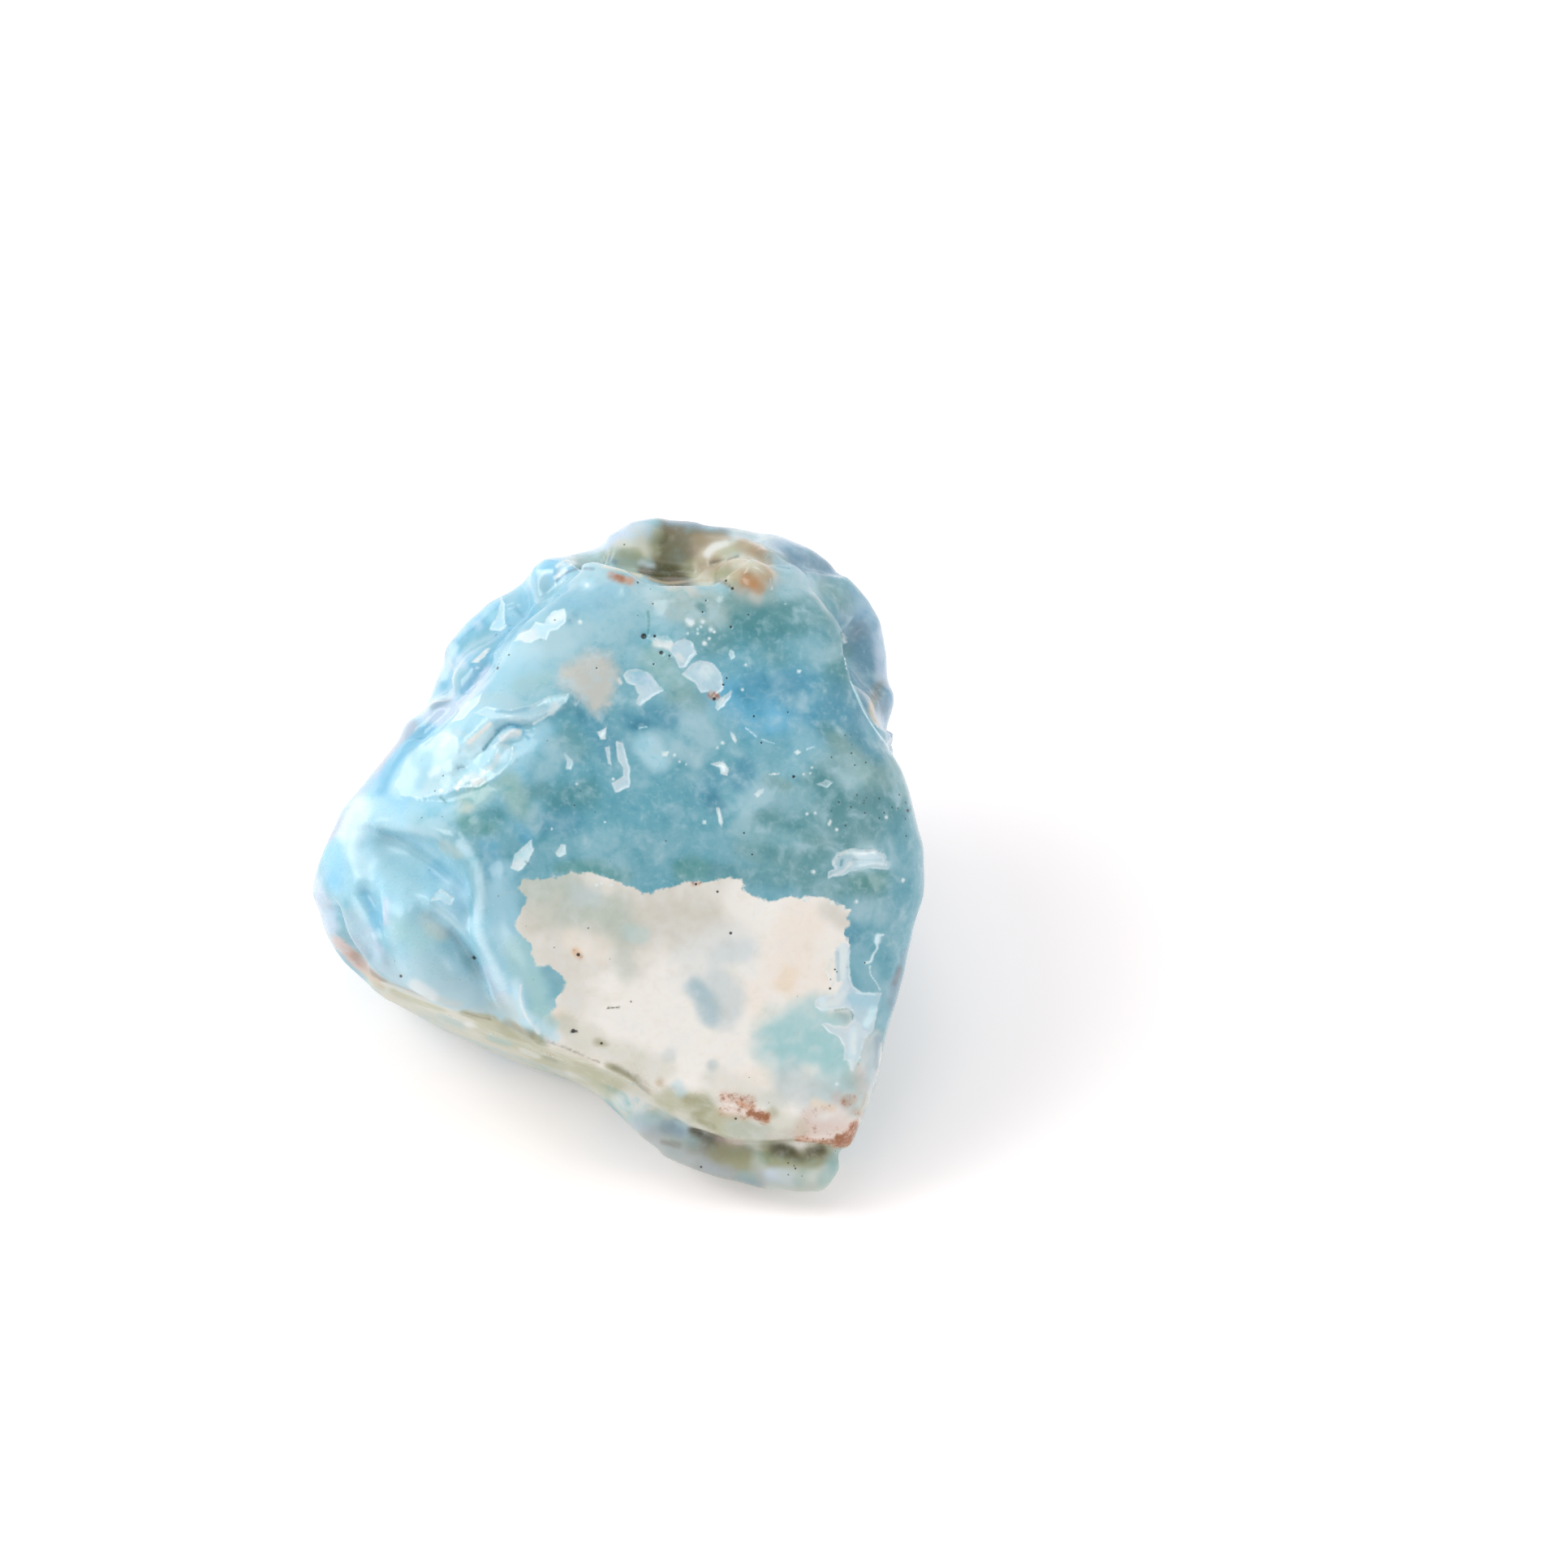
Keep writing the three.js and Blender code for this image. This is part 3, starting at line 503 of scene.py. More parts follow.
    ["sage", 0.5, 0.8, [(8.3, 4.8), (9.2, 4.4)]],
    ["teal", 0.42, 0.52, [(8.5, 4.5)]],
    ["haze", 0.9, 0.7, [(6.8, 2.9), (7.6, 3.6)]],
    ["teal", 0.96, 0.6, [(8.0, 2.4), (9.4, 2.2)]],
    ["teal", 0.72, 0.71, [(12.3, 4.1), (12.9, 3.4)]],
    ["reed", 0.8, 0.6, [(13.8, 5.2), (13.2, 4.9)]],
    ["teal", 0.96, 0.45, [(14.0, 3.4), (15.8, 3.5)]],
    ["teal", 0.96, 0.52, [(13.0, 1.9), (14.2, 1.9)]],
    ["teal", 0.48, 0.52, [(8.2, 0.8), (8.7, 0.4)]],
    ["mist", 0.9, 0.5, [(9.6, 3.4), (10.4, 3.8)]],
    ["mist", 0.8, 0.5, [(6.6, 1.8), (9.6, 1.2)]],
    ["jade", 0.84, 0.68, [(3.2, -0.6), (4.0, -0.6)]],
    ["sea", 0.7, 0.7, [(5.0, -0.7), (8.8, -1.2)]],
    ["jade", 0.96, 0.68, [(13.6, -1.0), (14.8, -1.2)]],
    ["jade", 0.6, 0.52, [(12.2, -1.6), (11.6, -1.8)]],
    ["lagoon", 0.8, 0.7, [(0.6, -1.6), (1.6, -1.2)]],
    ["haze", 0.9, 0.7, [(13.8, -3.0), (14.8, -3.2)]],
    ["deep", 0.6, 0.45, [(13.2, -4.2), (13.3, -5.2)]],
    ["mist", 0.7, 0.6, [(13.6, -5.8), (14.3, -7.2)]],
    ["mist", 1.0, 0.4, [(16.2, -4.4), (16.4, -6.0)]],
    ["lagoon", 1.3, 0.6, [(16.2, -2.0), (16.2, -4.8)]],
    ["steel", 0.6, 0.7, [(16.0, -7.4), (15.6, -8.8)]],
    # The left of the main face.
    ["ink", 0.36, 0.6, [(-3.2, 8.9), (-3.0, 8.5)]],
    ["deep", 0.96, 0.52, [(-2.2, 8.2), (-1.4, 7.0)]],
    ["sea", 0.9, 0.7, [(-4.0, 7.4), (-3.4, 6.6)]],
    ["ice", 1, 0.8, [(-7.2, 5.6), (-6.2, 6.8), (-5.4, 7.9)]],
    ["mist", 0.9, 0.7, [(-5.0, 6.4), (-5.2, 5.6)]],
    ["teal", 1.08, 0.68, [(-4.4, 3.6), (-3.0, 4.1)]],
    ["deep", 0.84, 0.6, [(-5.0, 2.3), (-3.8, 2.3)]],
    ["sea", 0.5, 0.8, [(-6.3, 3.9), (-5.4, 4.2)]],
    ["reed", 0.8, 0.9, [(-7.6, 4.6), (-6.6, 3.0)]],
    ["haze", 0.4, 0.6, [(-6.2, 2.6), (-5.9, 3.2)]],
    ["reed", 0.9, 0.9, [(-10.6, 3.2), (-9.2, 4.1)]],
    ["straw", 0.45, 0.6, [(-10.6, 3.3), (-10.0, 3.2)]],
    ["teal", 0.5, 0.6, [(-8.9, 2.9), (-8.2, 2.8)]],
    ["jade", 0.72, 0.6, [(-10.0, 2.2), (-8.6, 1.9)]],
    ["azure", 0.6, 0.7, [(-6.9, 1.8), (-6.5, 1.4)]],
    ["water", 0.9, 0.8, [(-8.2, 0.4), (-7.6, 1.4)]],
    ["azure", 0.7, 0.6, [(-8.7, 0.9), (-8.4, -0.9)]],
    ["ice", 0.8, 0.8, [(-8.3, -2.0), (-8.0, -3.6)]],
    ["ice", 0.6, 0.7, [(-7.4, -3.2), (-7.2, -4.4)]],
    ["mist", 0.8, 0.7, [(-1.4, 1.2), (-2.6, 0.8)]],
    ["jade", 0.54, 0.6, [(-4.4, -0.5), (-2.0, -0.6), (-0.6, -1.0)]],
    # The shoulder. Its sky, frost and glow strokes are partly painted highlight: the broad reflection on it,
    # painted pale.
    ["ash", 0.4, 0.9, [(-13.3, 8.1), (-14.4, 6.8), (-15.6, 5.1), (-16.7, 3.6), (-17.6, 2.3), (-18.2, 1.2)]],
    ["sky", 0.5, 1.0, [(-15.0, 4.6), (-14.3, 5.9), (-13.5, 6.8), (-12.4, 7.7)]],
    ["sky", 1.0, 0.6, [(-15.8, 4.4), (-14.4, 3.6)]],
    ["frost", 0.8, 0.7, [(-14.0, 4.6), (-13.4, 5.8), (-12.6, 6.6)]],
    ["ice", 0.5, 0.6, [(-12.7, 6.3), (-12.3, 5.8)]],
    ["glow", 0.5, 0.5, [(-11.8, 5.3), (-11.3, 6.9), (-11.2, 7.5)]],
    ["haze", 0.7, 0.7, [(-12.4, 4.6), (-10.6, 5.0)]],
    ["frost", 0.9, 0.7, [(-10.4, 6.4), (-9.4, 6.6)]],
    ["ice", 0.7, 0.7, [(-9.6, 8.6), (-8.2, 8.6)]],
    ["frost", 0.35, 0.8, [(-8.0, 7.5), (-7.0, 7.7)]],
    ["haze", 0.6, 0.7, [(-8.2, 7.0), (-7.4, 6.2)]],
    ["steel", 0.2, 0.9, [(-10.6, 5.6), (-10.2, 5.65)]],
    ["ice", 0.9, 0.8, [(-12.6, 3.1), (-11.2, 3.2)]],
    ["frost", 0.8, 0.4, [(-15.6, 3.1), (-14.8, 2.7)]],
    # The left end and the lobe, with a painted soft reflection on the left end and painted highlights along
    # the lobe's ridge.
    # Painted soft reflection.
    ["glow", 0.9, 0.8, [(-16.6, 3.2), (-17.0, 1.6)]],
    ["frost", 0.6, 0.8, [(-17.0, 0.6), (-16.2, -0.6)]],
    ["lilac", 0.6, 0.8, [(-18.8, 1.0), (-19.2, -0.8), (-18.8, -2.6), (-18.2, -4.0)]],
    ["sky", 0.7, 0.9, [(-18.1, 0.6), (-18.0, -1.2)]],
    ["mist", 1.3, 0.7, [(-14.6, 0.6), (-13.6, -1.0)]],
    ["haze", 0.7, 0.7, [(-13.0, 2.2), (-11.2, 1.7)]],
    ["pebble", 0.4, 0.7, [(-11.4, 0.9), (-10.6, 0.4)]],
    # Painted highlight along the crest of the lobe's ridge.
    ["frost", 0.35, 0.9, [(-10.4, 1.0), (-9.6, 0.0), (-9.2, -1.6), (-9.5, -3.6)]],
    ["water", 0.5, 0.6, [(-13.2, 0.5), (-12.0, -0.3)]],
    ["azure", 0.6, 0.6, [(-11.9, -0.6), (-10.8, -1.4)]],
    ["sky", 0.6, 0.6, [(-10.5, -2.6), (-10.4, -1.8)]],
    ["frost", 0.7, 0.7, [(-11.2, -3.0), (-10.2, -3.8)]],
    ["azure", 0.5, 0.8, [(-16.0, -2.2), (-15.6, -3.2), (-15.3, -3.9)]],
    ["lilac", 0.25, 0.8, [(-14.9, -2.4), (-14.9, -3.8)]],
    ["lilac", 0.25, 0.7, [(-15.9, -4.2), (-15.2, -5.6)]],
    ["mist", 0.8, 0.7, [(-17.0, -3.4), (-16.4, -4.8)]],
    ["mist", 1.0, 0.6, [(-14.0, -4.4), (-12.8, -3.2)]],
    ["straw", 0.45, 0.7, [(-12.2, -4.2), (-11.5, -4.6)]],
    ["water", 0.8, 0.7, [(-11.4, -5.5), (-9.9, -6.2)]],
    ["steel", 0.35, 0.5, [(-11.0, -4.4), (-9.9, -5.6), (-9.1, -7.0)]],
    ["frost", 0.8, 0.4, [(-12.8, -6.4), (-11.6, -7.6)]],
    ["lilac", 0.7, 0.5, [(-15.4, -5.8), (-14.2, -7.0)]],
    ["steel", 0.4, 0.5, [(-16.8, -5.0), (-16.0, -5.8)]],
    ["lilac", 0.5, 0.6, [(-8.6, -6.6), (-8.0, -8.2)]],
    ["mist", 0.8, 0.5, [(-9.4, -7.6), (-9.0, -8.6)]],
    # Painted highlight along the crest of the lobe's ridge.
    ["frost", 0.4, 0.8, [(-9.4, -4.4), (-8.5, -6.2), (-7.9, -7.6)]],
    ["ice", 0.8, 0.7, [(-8.0, -4.4), (-7.6, -5.8)]],
    ["ash", 0.9, 0.4, [(-17.0, -3.6), (-16.4, -5.0)]],
    ["ice", 0.9, 0.8, [(-7.6, -0.8), (-7.6, -2.6), (-7.4, -4.2)]],
    ["ice", 1.2, 0.5, [(-12.6, -4.6), (-11.4, -6.4), (-10.6, -8.0)]],
    ["frost", 0.8, 0.5, [(-11.2, -1.8), (-10.4, -2.2)]],
    ["haze", 1.0, 0.4, [(-11.6, -6.4), (-11.0, -7.4)]],
    ["frost", 0.7, 0.45, [(-8.0, -4.4), (-7.6, -5.4)]],
    ["sea", 0.9, 0.25, [(-11.2, -4.8), (-9.8, -6.0)]],
    ["haze", 1.2, 0.7, [(-12.6, -6.0), (-10.8, -7.6)]],
    ["aqua", 0.9, 0.5, [(-14.0, -4.2), (-12.8, -4.8)]],
    ["straw", 0.4, 0.25, [(-12.6, -3.6), (-11.7, -4.5)]],
    ["frost", 0.6, 0.5, [(-13.8, -6.6), (-13.0, -7.4)]],
    ["aqua", 1.0, 0.8, [(-6.9, -5.6), (-6.2, -7.2)]],
    ["aqua", 1.0, 0.8, [(-5.7, -8.0), (-5.6, -9.4)]],
    ["teal", 0.5, 0.3, [(-5.2, -6.7), (-4.5, -7.4)]],
    # Painted highlight along the ridge's end.
    ["frost", 0.4, 0.9, [(-7.0, -7.4), (-6.7, -9.0), (-6.0, -10.1)]],
    ["dove", 0.7, 0.8, [(-7.8, -8.6), (-7.2, -9.4)]],
    # The right rim and the back right side.
    ["clay", 0.3, 0.9, [(14.5, 9.6), (14.4, 8.9), (14.7, 8.3)]],
    ["bark", 0.35, 0.5, [(14.9, 10.8), (14.7, 10.0)]],
    ["lilac", 0.5, 0.7, [(14.9, 13.6), (15.0, 11.2)]],
    ["dove", 0.5, 0.6, [(14.7, -11.6), (14.6, -13.0)]],
    ["rose", 0.35, 0.6, [(14.5, -13.8), (14.2, -14.8)]],
]

# The same along the lower band, the lip and the right rim, over both rocks.
BAND_STROKES = [
    ["haze", 1.3, 0.5, [(-14.6, -6.6), (-11.6, -8.3), (-8.8, -9.2), (-7.4, -9.6)]],
    ["straw", 1.1, 1.0, [
        (-15.4, -7.6), (-12.0, -9.0), (-9.0, -10.0), (-6.4, -10.9), (-3.4, -12.2), (-0.4, -13.4),
        (2.0, -14.8)]],
    ["straw", 1.1, 1.0, [
        (-14.6, -8.3), (-12.0, -9.5), (-9.0, -10.7), (-6.0, -11.8), (-3.0, -13.0), (0.0, -14.6),
        (1.6, -15.6)]],
    ["straw", 1.1, 1.0, [(-13.6, -9.0), (-11.0, -10.1), (-8.0, -11.3), (-5.0, -12.3), (-2.4, -13.8)]],
    ["straw", 1.0, 1.0, [(3.6, -15.6), (6.0, -16.4), (9.0, -17.0)]],
    ["fern", 1.5, 1.0, [(1.0, -17.0), (2.0, -16.8), (5.0, -18.2), (8.0, -18.8), (12.0, -18.6)]],
    ["fern", 1.0, 1.0, [
        (0.4, -16.0), (1.4, -17.0), (2.4, -17.7), (3.6, -18.3), (5.2, -18.9), (7.0, -19.4)]],
    ["fern", 1.2, 1.0, [(11.8, -19.2), (12.4, -18.6), (12.4, -17.9)]],
    ["fern", 1.5, 1.0, [(3.0, -18.4), (6.0, -19.4), (9.0, -19.8), (11.6, -19.6)]],
    ["rose", 0.5, 0.9, [(-17.8, -5.0), (-16.6, -6.2), (-15.6, -6.9)]],
    ["rust", 0.35, 0.35, [(-17.0, -5.6), (-16.3, -6.3)]],
    ["taupe", 0.3, 0.4, [(-16.8, -5.8), (-15.8, -6.8)]],
    ["clay", 0.35, 0.6, [(-16.2, -6.8), (-15.2, -7.6)]],
    ["bark", 0.25, 0.5, [(-15.8, -6.7), (-15.0, -7.2)]],
    ["khaki", 0.35, 0.9, [(-14.4, -7.9), (-12.8, -8.6), (-11.6, -9.0)]],
    ["haze", 0.6, 0.5, [(-14.2, -7.0), (-12.2, -8.0), (-10.2, -8.8), (-8.4, -9.2)]],
    ["fern", 0.7, 0.8, [(-12.6, -9.4), (-10.6, -9.9)]],
    ["sand", 0.3, 0.6, [(-13.6, -7.9), (-12.6, -8.3)]],
    ["taupe", 0.16, 0.3, [(-15.2, -7.2), (-13.8, -7.7), (-12.4, -8.3)]],
    ["pebble", 0.4, 0.6, [(-11.4, -9.4), (-10.6, -9.8)]],
    ["pearl", 0.35, 0.6, [(-9.9, -9.9), (-9.2, -10.0)]],
    ["olive", 0.3, 0.8, [(-10.2, -9.2), (-9.4, -9.5), (-8.4, -9.6)]],
    ["khaki", 0.7, 0.9, [(-9.0, -10.0), (-7.4, -10.4)]],
    ["khaki", 1.1, 0.8, [(-8.5, -10.4), (-3.0, -12.6)]],
    ["olive", 0.7, 0.8, [(-7.6, -10.2), (-5.8, -11.0)]],
    ["khaki", 0.8, 0.8, [(-5.6, -12.0), (-3.2, -12.4)]],
    ["olive", 0.35, 0.6, [(-4.9, -11.8)]],
    ["moss", 0.25, 0.35, [(-5.2, -11.9), (-4.7, -12.1)]],
    ["reed", 0.35, 0.6, [(-8.6, -10.7), (-7.6, -11.0)]],
    ["pearl", 0.3, 0.5, [(-6.6, -11.5), (-5.9, -11.8)]],
    ["pearl", 0.35, 0.5, [(-3.8, -12.9), (-2.8, -13.2)]],
    ["olive", 0.25, 0.5, [(-3.4, -12.3), (-2.6, -12.6)]],
    ["slate", 0.18, 0.25, [
        (-14.0, -9.1), (-12.0, -9.9), (-10.0, -10.75), (-8.0, -11.5), (-6.0, -12.2), (-4.0, -12.9)]],
    ["khaki", 0.9, 0.8, [(-2.8, -12.8), (-1.0, -13.6)]],
    ["pearl", 0.45, 0.6, [(-13.2, -7.6), (-12.2, -8.2)]],
    ["sand", 0.35, 0.4, [(-11.6, -8.5), (-10.6, -8.8)]],
    ["olive", 0.3, 0.8, [(-1.5, -12.4), (-0.6, -12.9), (0.3, -13.5)]],
    ["moss", 0.2, 0.5, [(-1.2, -12.5), (-0.2, -13.0), (0.6, -13.8)]],
    ["olive", 0.2, 0.5, [(-2.1, -10.95), (-1.6, -11.1)]],
    ["straw", 0.4, 0.5, [(-4.1, -9.6), (-3.7, -10.1)]],
    ["pebble", 0.5, 0.5, [(-8.3, -8.8), (-7.3, -9.3)]],
    ["taupe", 0.3, 0.4, [(-7.6, -9.8), (-6.2, -10.5)]],
    ["aqua", 0.5, 0.8, [(-5.8, -8.4), (-5.5, -9.3), (-5.0, -10.0)]],
    ["frost", 0.4, 0.8, [(-6.0, -9.7), (-5.3, -10.3), (-4.7, -10.7)]],
    ["bark", 0.15, 0.4, [(0.2, -13.0), (0.8, -13.6), (0.9, -14.1)]],
    ["clay", 0.35, 0.9, [(1.6, -13.4)]],
    ["pearl", 0.7, 0.8, [(-0.6, -14.4), (0.4, -14.8)]],
    ["khaki", 1.0, 0.9, [(2.4, -14.6), (4.4, -15.0)]],
    ["ice", 0.45, 0.45, [(2.7, -13.6), (2.9, -14.0)]],
    ["olive", 0.45, 0.8, [(3.3, -14.5), (4.4, -14.8), (3.8, -15.4)]],
    ["slate", 0.7, 0.6, [(0.5, -15.7), (1.8, -16.0), (2.9, -16.3)]],
    ["ash", 0.5, 0.5, [(2.4, -16.2), (3.0, -16.5)]],
    ["ash", 0.5, 0.5, [(0.2, -16.0), (1.4, -16.6)]],
    ["steel", 0.4, 0.4, [(2.0, -16.1), (2.8, -16.3)]],
    ["khaki", 0.8, 0.9, [(5.0, -15.8), (6.8, -16.1)]],
    ["fern", 0.7, 0.6, [(6.2, -16.2), (7.8, -16.4)]],
    ["olive", 0.22, 0.8, [(4.0, -15.7), (4.8, -16.1)]],
    ["sand", 0.4, 0.7, [(8.4, -16.6), (9.4, -16.7)]],
    ["taupe", 0.35, 0.8, [(3.6, -16.3), (4.4, -16.7), (5.2, -17.0)]],
    ["peat", 0.22, 0.5, [(3.7, -16.3), (4.0, -16.5)]],
    ["rose", 0.3, 0.6, [(5.2, -17.0), (6.4, -17.1)]],
    ["moss", 0.25, 0.4, [(4.6, -17.3), (5.6, -17.7), (6.8, -17.9)]],
    ["moss", 0.3, 0.4, [(10.4, -18.6), (11.6, -18.3), (12.2, -18.1)]],
    ["apricot", 0.35, 0.6, [(11.0, -14.7), (12.0, -15.0)]],
    ["rust", 0.18, 0.5, [(6.4, -14.6), (7.0, -15.0)]],
    ["dove", 0.7, 0.8, [(1.4, -17.2), (4.2, -18.2)]],
    ["taupe", 0.2, 0.5, [(1.8, -17.0), (2.8, -17.2)]],
    ["bark", 0.45, 0.5, [(5.2, -17.7), (6.2, -17.8), (7.0, -17.7)]],
    ["olive", 0.4, 0.7, [(5.6, -18.3), (6.6, -18.3)]],
    ["lilac", 0.5, 0.5, [(4.6, -18.5), (5.6, -18.8)]],
    ["olive", 0.8, 0.9, [(8.2, -17.8), (9.8, -17.9), (11.3, -17.7)]],
    ["bark", 0.5, 0.7, [(8.8, -17.5), (9.8, -17.8)]],
    ["moss", 0.35, 0.7, [(9.0, -17.3), (9.6, -17.6)]],
    ["bark", 0.35, 0.7, [(10.6, -17.6), (11.3, -17.5)]],
    ["olive", 0.6, 0.7, [(8.4, -18.4), (10.4, -18.4), (11.6, -18.3)]],
    ["reed", 0.6, 0.7, [(12.0, -18.4), (12.5, -17.8)]],
    ["dove", 0.7, 0.9, [(8.2, -19.1), (9.4, -19.1)]],
    ["taupe", 1.0, 0.32, [(1.2, -17.0), (3.2, -17.8), (5.4, -18.7), (7.2, -19.3)]],
    ["taupe", 0.5, 0.12, [(8.0, -19.3), (10.6, -19.7)]],
    ["taupe", 0.6, 0.2, [(4.2, -18.4), (5.6, -19.0)]],
    ["lilac", 0.4, 0.5, [(8.3, -18.9), (9.2, -19.0)]],
    ["sage", 0.3, 0.5, [(6.6, -19.0), (7.2, -19.3)]],
    ["sage", 0.4, 0.4, [(10.4, -18.9), (10.0, -19.3)]],
    ["bark", 0.5, 0.35, [(5.4, -17.7), (6.6, -17.8)]],
    ["peat", 0.5, 0.55, [(8.6, -17.5), (9.6, -17.8), (10.2, -18.0), (11.2, -17.6)]],
    ["pearl", 0.45, 0.4, [(10.8, -18.9), (11.5, -18.7)]],
    ["taupe", 0.6, 0.55, [(3.6, -17.2), (5.2, -17.6)]],
    ["reed", 0.6, 0.5, [(11.6, -19.2), (12.3, -18.4)]],
    ["steel", 0.2, 0.4, [(6.2, -19.2), (7.6, -19.6)]],
    ["dove", 0.6, 0.9, [(14.6, -10.8), (14.5, -12.6), (14.1, -14.0)]],
    ["slate", 0.4, 0.4, [(14.7, -11.2), (14.4, -12.4), (14.1, -13.2)]],
    ["steel", 0.3, 0.6, [(14.9, -10.8), (14.7, -12.4)]],
    ["pebble", 0.9, 0.7, [(13.4, -13.4), (13.7, -15.0)]],
    ["rose", 0.5, 0.3, [(13.7, -12.8), (13.9, -13.8)]],
    ["clay", 0.25, 0.5, [(14.1, -14.3), (13.8, -15.2)]],
    ["mist", 0.5, 0.6, [(15.3, -8.0), (15.0, -9.6)]],
    ["steel", 0.25, 0.6, [(16.5, -5.4), (15.9, -7.2), (15.5, -8.6)]],
    ["taupe", 0.2, 0.4, [(16.1, -6.6), (15.8, -7.4)]],
    ["olive", 0.6, 0.55, [(5.0, -17.7), (6.8, -18.0)]],
    ["fern", 0.6, 0.5, [(9.2, -18.9), (10.6, -18.9)]],
]

# The same for the pale rock. Those of the band are laid over them too.
PALE_STROKES = [
    ["oat", 3.0, 0.9, [(-5.0, -3.0), (-1.0, -3.6), (3.6, -3.2)]],
    ["oat", 1.6, 0.6, [(-4.4, -6.2), (-3.6, -8.0)]],
    ["fern", 1.4, 0.9, [(-6.2, -1.4), (-4.4, -1.4)]],
    ["fern", 1.4, 0.8, [(-3.6, -2.8), (-1.6, -3.0)]],
    ["fern", 0.8, 0.45, [(-0.9, -5.0), (-0.5, -6.6)]],
    ["fern", 1.8, 0.45, [(-5.0, -2.6), (-2.4, -3.0), (-1.2, -4.2)]],
    ["oat", 0.8, 0.7, [(4.0, -2.6), (5.0, -3.6)]],
    ["pearl", 1.8, 0.7, [(5.8, -5.4), (3.6, -6.2)]],
    ["cream", 1.2, 0.8, [(6.4, -2.4), (7.6, -3.0)]],
    ["blush", 1.6, 0.9, [(10.4, -3.8), (9.8, -5.6), (9.4, -7.0)]],
    ["apricot", 0.7, 0.6, [(9.4, -7.0), (9.2, -7.6)]],
    ["oat", 0.7, 0.7, [(11.8, -3.0), (12.6, -3.6)]],
    ["blush", 0.8, 0.6, [(11.4, -6.4), (11.2, -7.8)]],
    ["blush", 0.9, 0.5, [(-3.6, -4.8), (-1.8, -5.4)]],
    ["apricot", 0.6, 0.5, [(-4.4, -9.6)]],
    ["apricot", 0.35, 0.8, [(-3.4, -5.5)]],
    ["straw", 0.5, 0.7, [(-4.2, -9.7), (-3.9, -10.1)]],
    ["olive", 0.25, 0.6, [(-2.2, -11.0), (-1.8, -11.1)]],
    ["blush", 0.9, 0.6, [(7.0, -8.2), (7.6, -8.8)]],
    ["dove", 0.8, 0.6, [(-3.4, -2.0), (-2.4, -2.2)]],
    ["dove", 1.0, 0.8, [(14.3, -11.8), (14.5, -14.0)]],
    ["pebble", 0.6, 0.9, [(12.4, -9.4), (12.8, -9.5)]],
    ["steel", 0.35, 0.35, [(12.7, -9.5)]],
    ["oat", 0.35, 0.5, [(11.6, -9.4), (11.9, -9.5)]],
    ["aqua", 0.5, 0.35, [(-0.2, -4.4), (0.6, -4.6)]],
    ["dove", 1.0, 0.65, [(5.2, -7.4), (6.0, -8.4), (5.4, -9.4)]],
    ["dove", 0.9, 0.5, [(5.4, -5.8), (6.4, -5.6)]],
    ["slate", 0.7, 0.7, [(3.7, -7.7), (4.2, -8.4), (4.6, -9.4)]],
    ["slate", 0.5, 0.5, [(3.9, -7.9), (4.8, -8.5)]],
    ["dove", 0.35, 0.8, [(4.8, -12.4)]],
    ["dove", 0.5, 0.5, [(2.2, -11.8)]],
    ["aqua", 2.3, 1.0, [(9.6, -11.0), (11.2, -11.2)]],
    ["aqua", 1.3, 0.8, [(10.6, -9.4), (11.0, -9.2)]],
    ["aqua", 1.5, 0.8, [(12.0, -12.4), (12.4, -13.4)]],
    ["dove", 1.3, 0.7, [(9.6, -13.4), (11.6, -14.2)]],
    ["fern", 0.8, 0.5, [(5.0, -13.2), (8.6, -14.6)]],
    ["blush", 1.0, 0.5, [(5.6, -13.4), (7.6, -13.2)]],
    ["rose", 0.9, 0.5, [(10.8, -16.0), (12.6, -15.8)]],
    ["rose", 0.5, 0.5, [(12.4, -14.4), (13.2, -14.8)]],
    ["straw", 0.7, 0.6, [(8.4, -15.6), (9.8, -16.2)]],
    ["khaki", 0.4, 0.7, [(8.0, -15.5), (8.5, -15.2)]],
    ["straw", 1.0, 0.6, [(-3.6, -10.6), (-0.6, -11.9), (1.6, -12.8)]],
]

# Iron stains of both, [radius, strength, path], which break up into spots.
STAINS = [
    [0.55, 0.6, [(5.6, -14.4), (7.1, -14.6)]],
    [0.4, 0.85, [(6.6, -14.8), (7.2, -14.9)]],
    [0.45, 0.45, [(5.4, -15.1), (6.8, -15.4)]],
    [0.45, 1.0, [(7.1, -15.2), (8.0, -15.5)]],
    [0.3, 0.75, [(10.0, -16.9), (12.0, -17.0)]],
    [0.55, 1.0, [(12.5, -17.0), (13.1, -16.7), (13.4, -16.1)]],
    [0.8, 0.35, [(10.4, -16.3), (12.6, -16.4)]],
    [0.5, 0.4, [(10.6, -15.3), (12.0, -15.0)]],
    [0.35, 0.5, [(5.6, -14.9), (6.6, -15.1)]],
    [0.4, 0.5, [(12.8, -14.6), (13.3, -14.4)]],
    [0.3, 0.4, [(13.4, -15.2), (13.8, -15.5)]],
    [0.25, 0.5, [(3.6, -1.45), (4.0, -1.4)]],
    [0.3, 0.55, [(-3.5, -5.5), (-3.2, -5.8)]],
    [0.3, 0.6, [(4.7, 10.0), (5.0, 9.9)]],
]

# Where the clouding is faint, [radius, strength, path].
CALM = [
    [2.6, 1.0, [(0, 18.8), (5, 18.8), (7, 17.4)]],
    [1.8, 1.0, [(1, -17), (4, -18.4), (8, -19.2), (12, -18.6)]],
    [2.0, 0.9, [(-14, -8), (-9, -10.4), (-3, -12.6)]],
    [5.0, 0.9, [(-17, 2), (-13, -3), (-8, -7)]],
    [3.5, 0.7, [(-13, 6), (-9, 11), (-5, 16)]],
    [3.0, 0.6, [(12, -12), (14, -8)]],
]

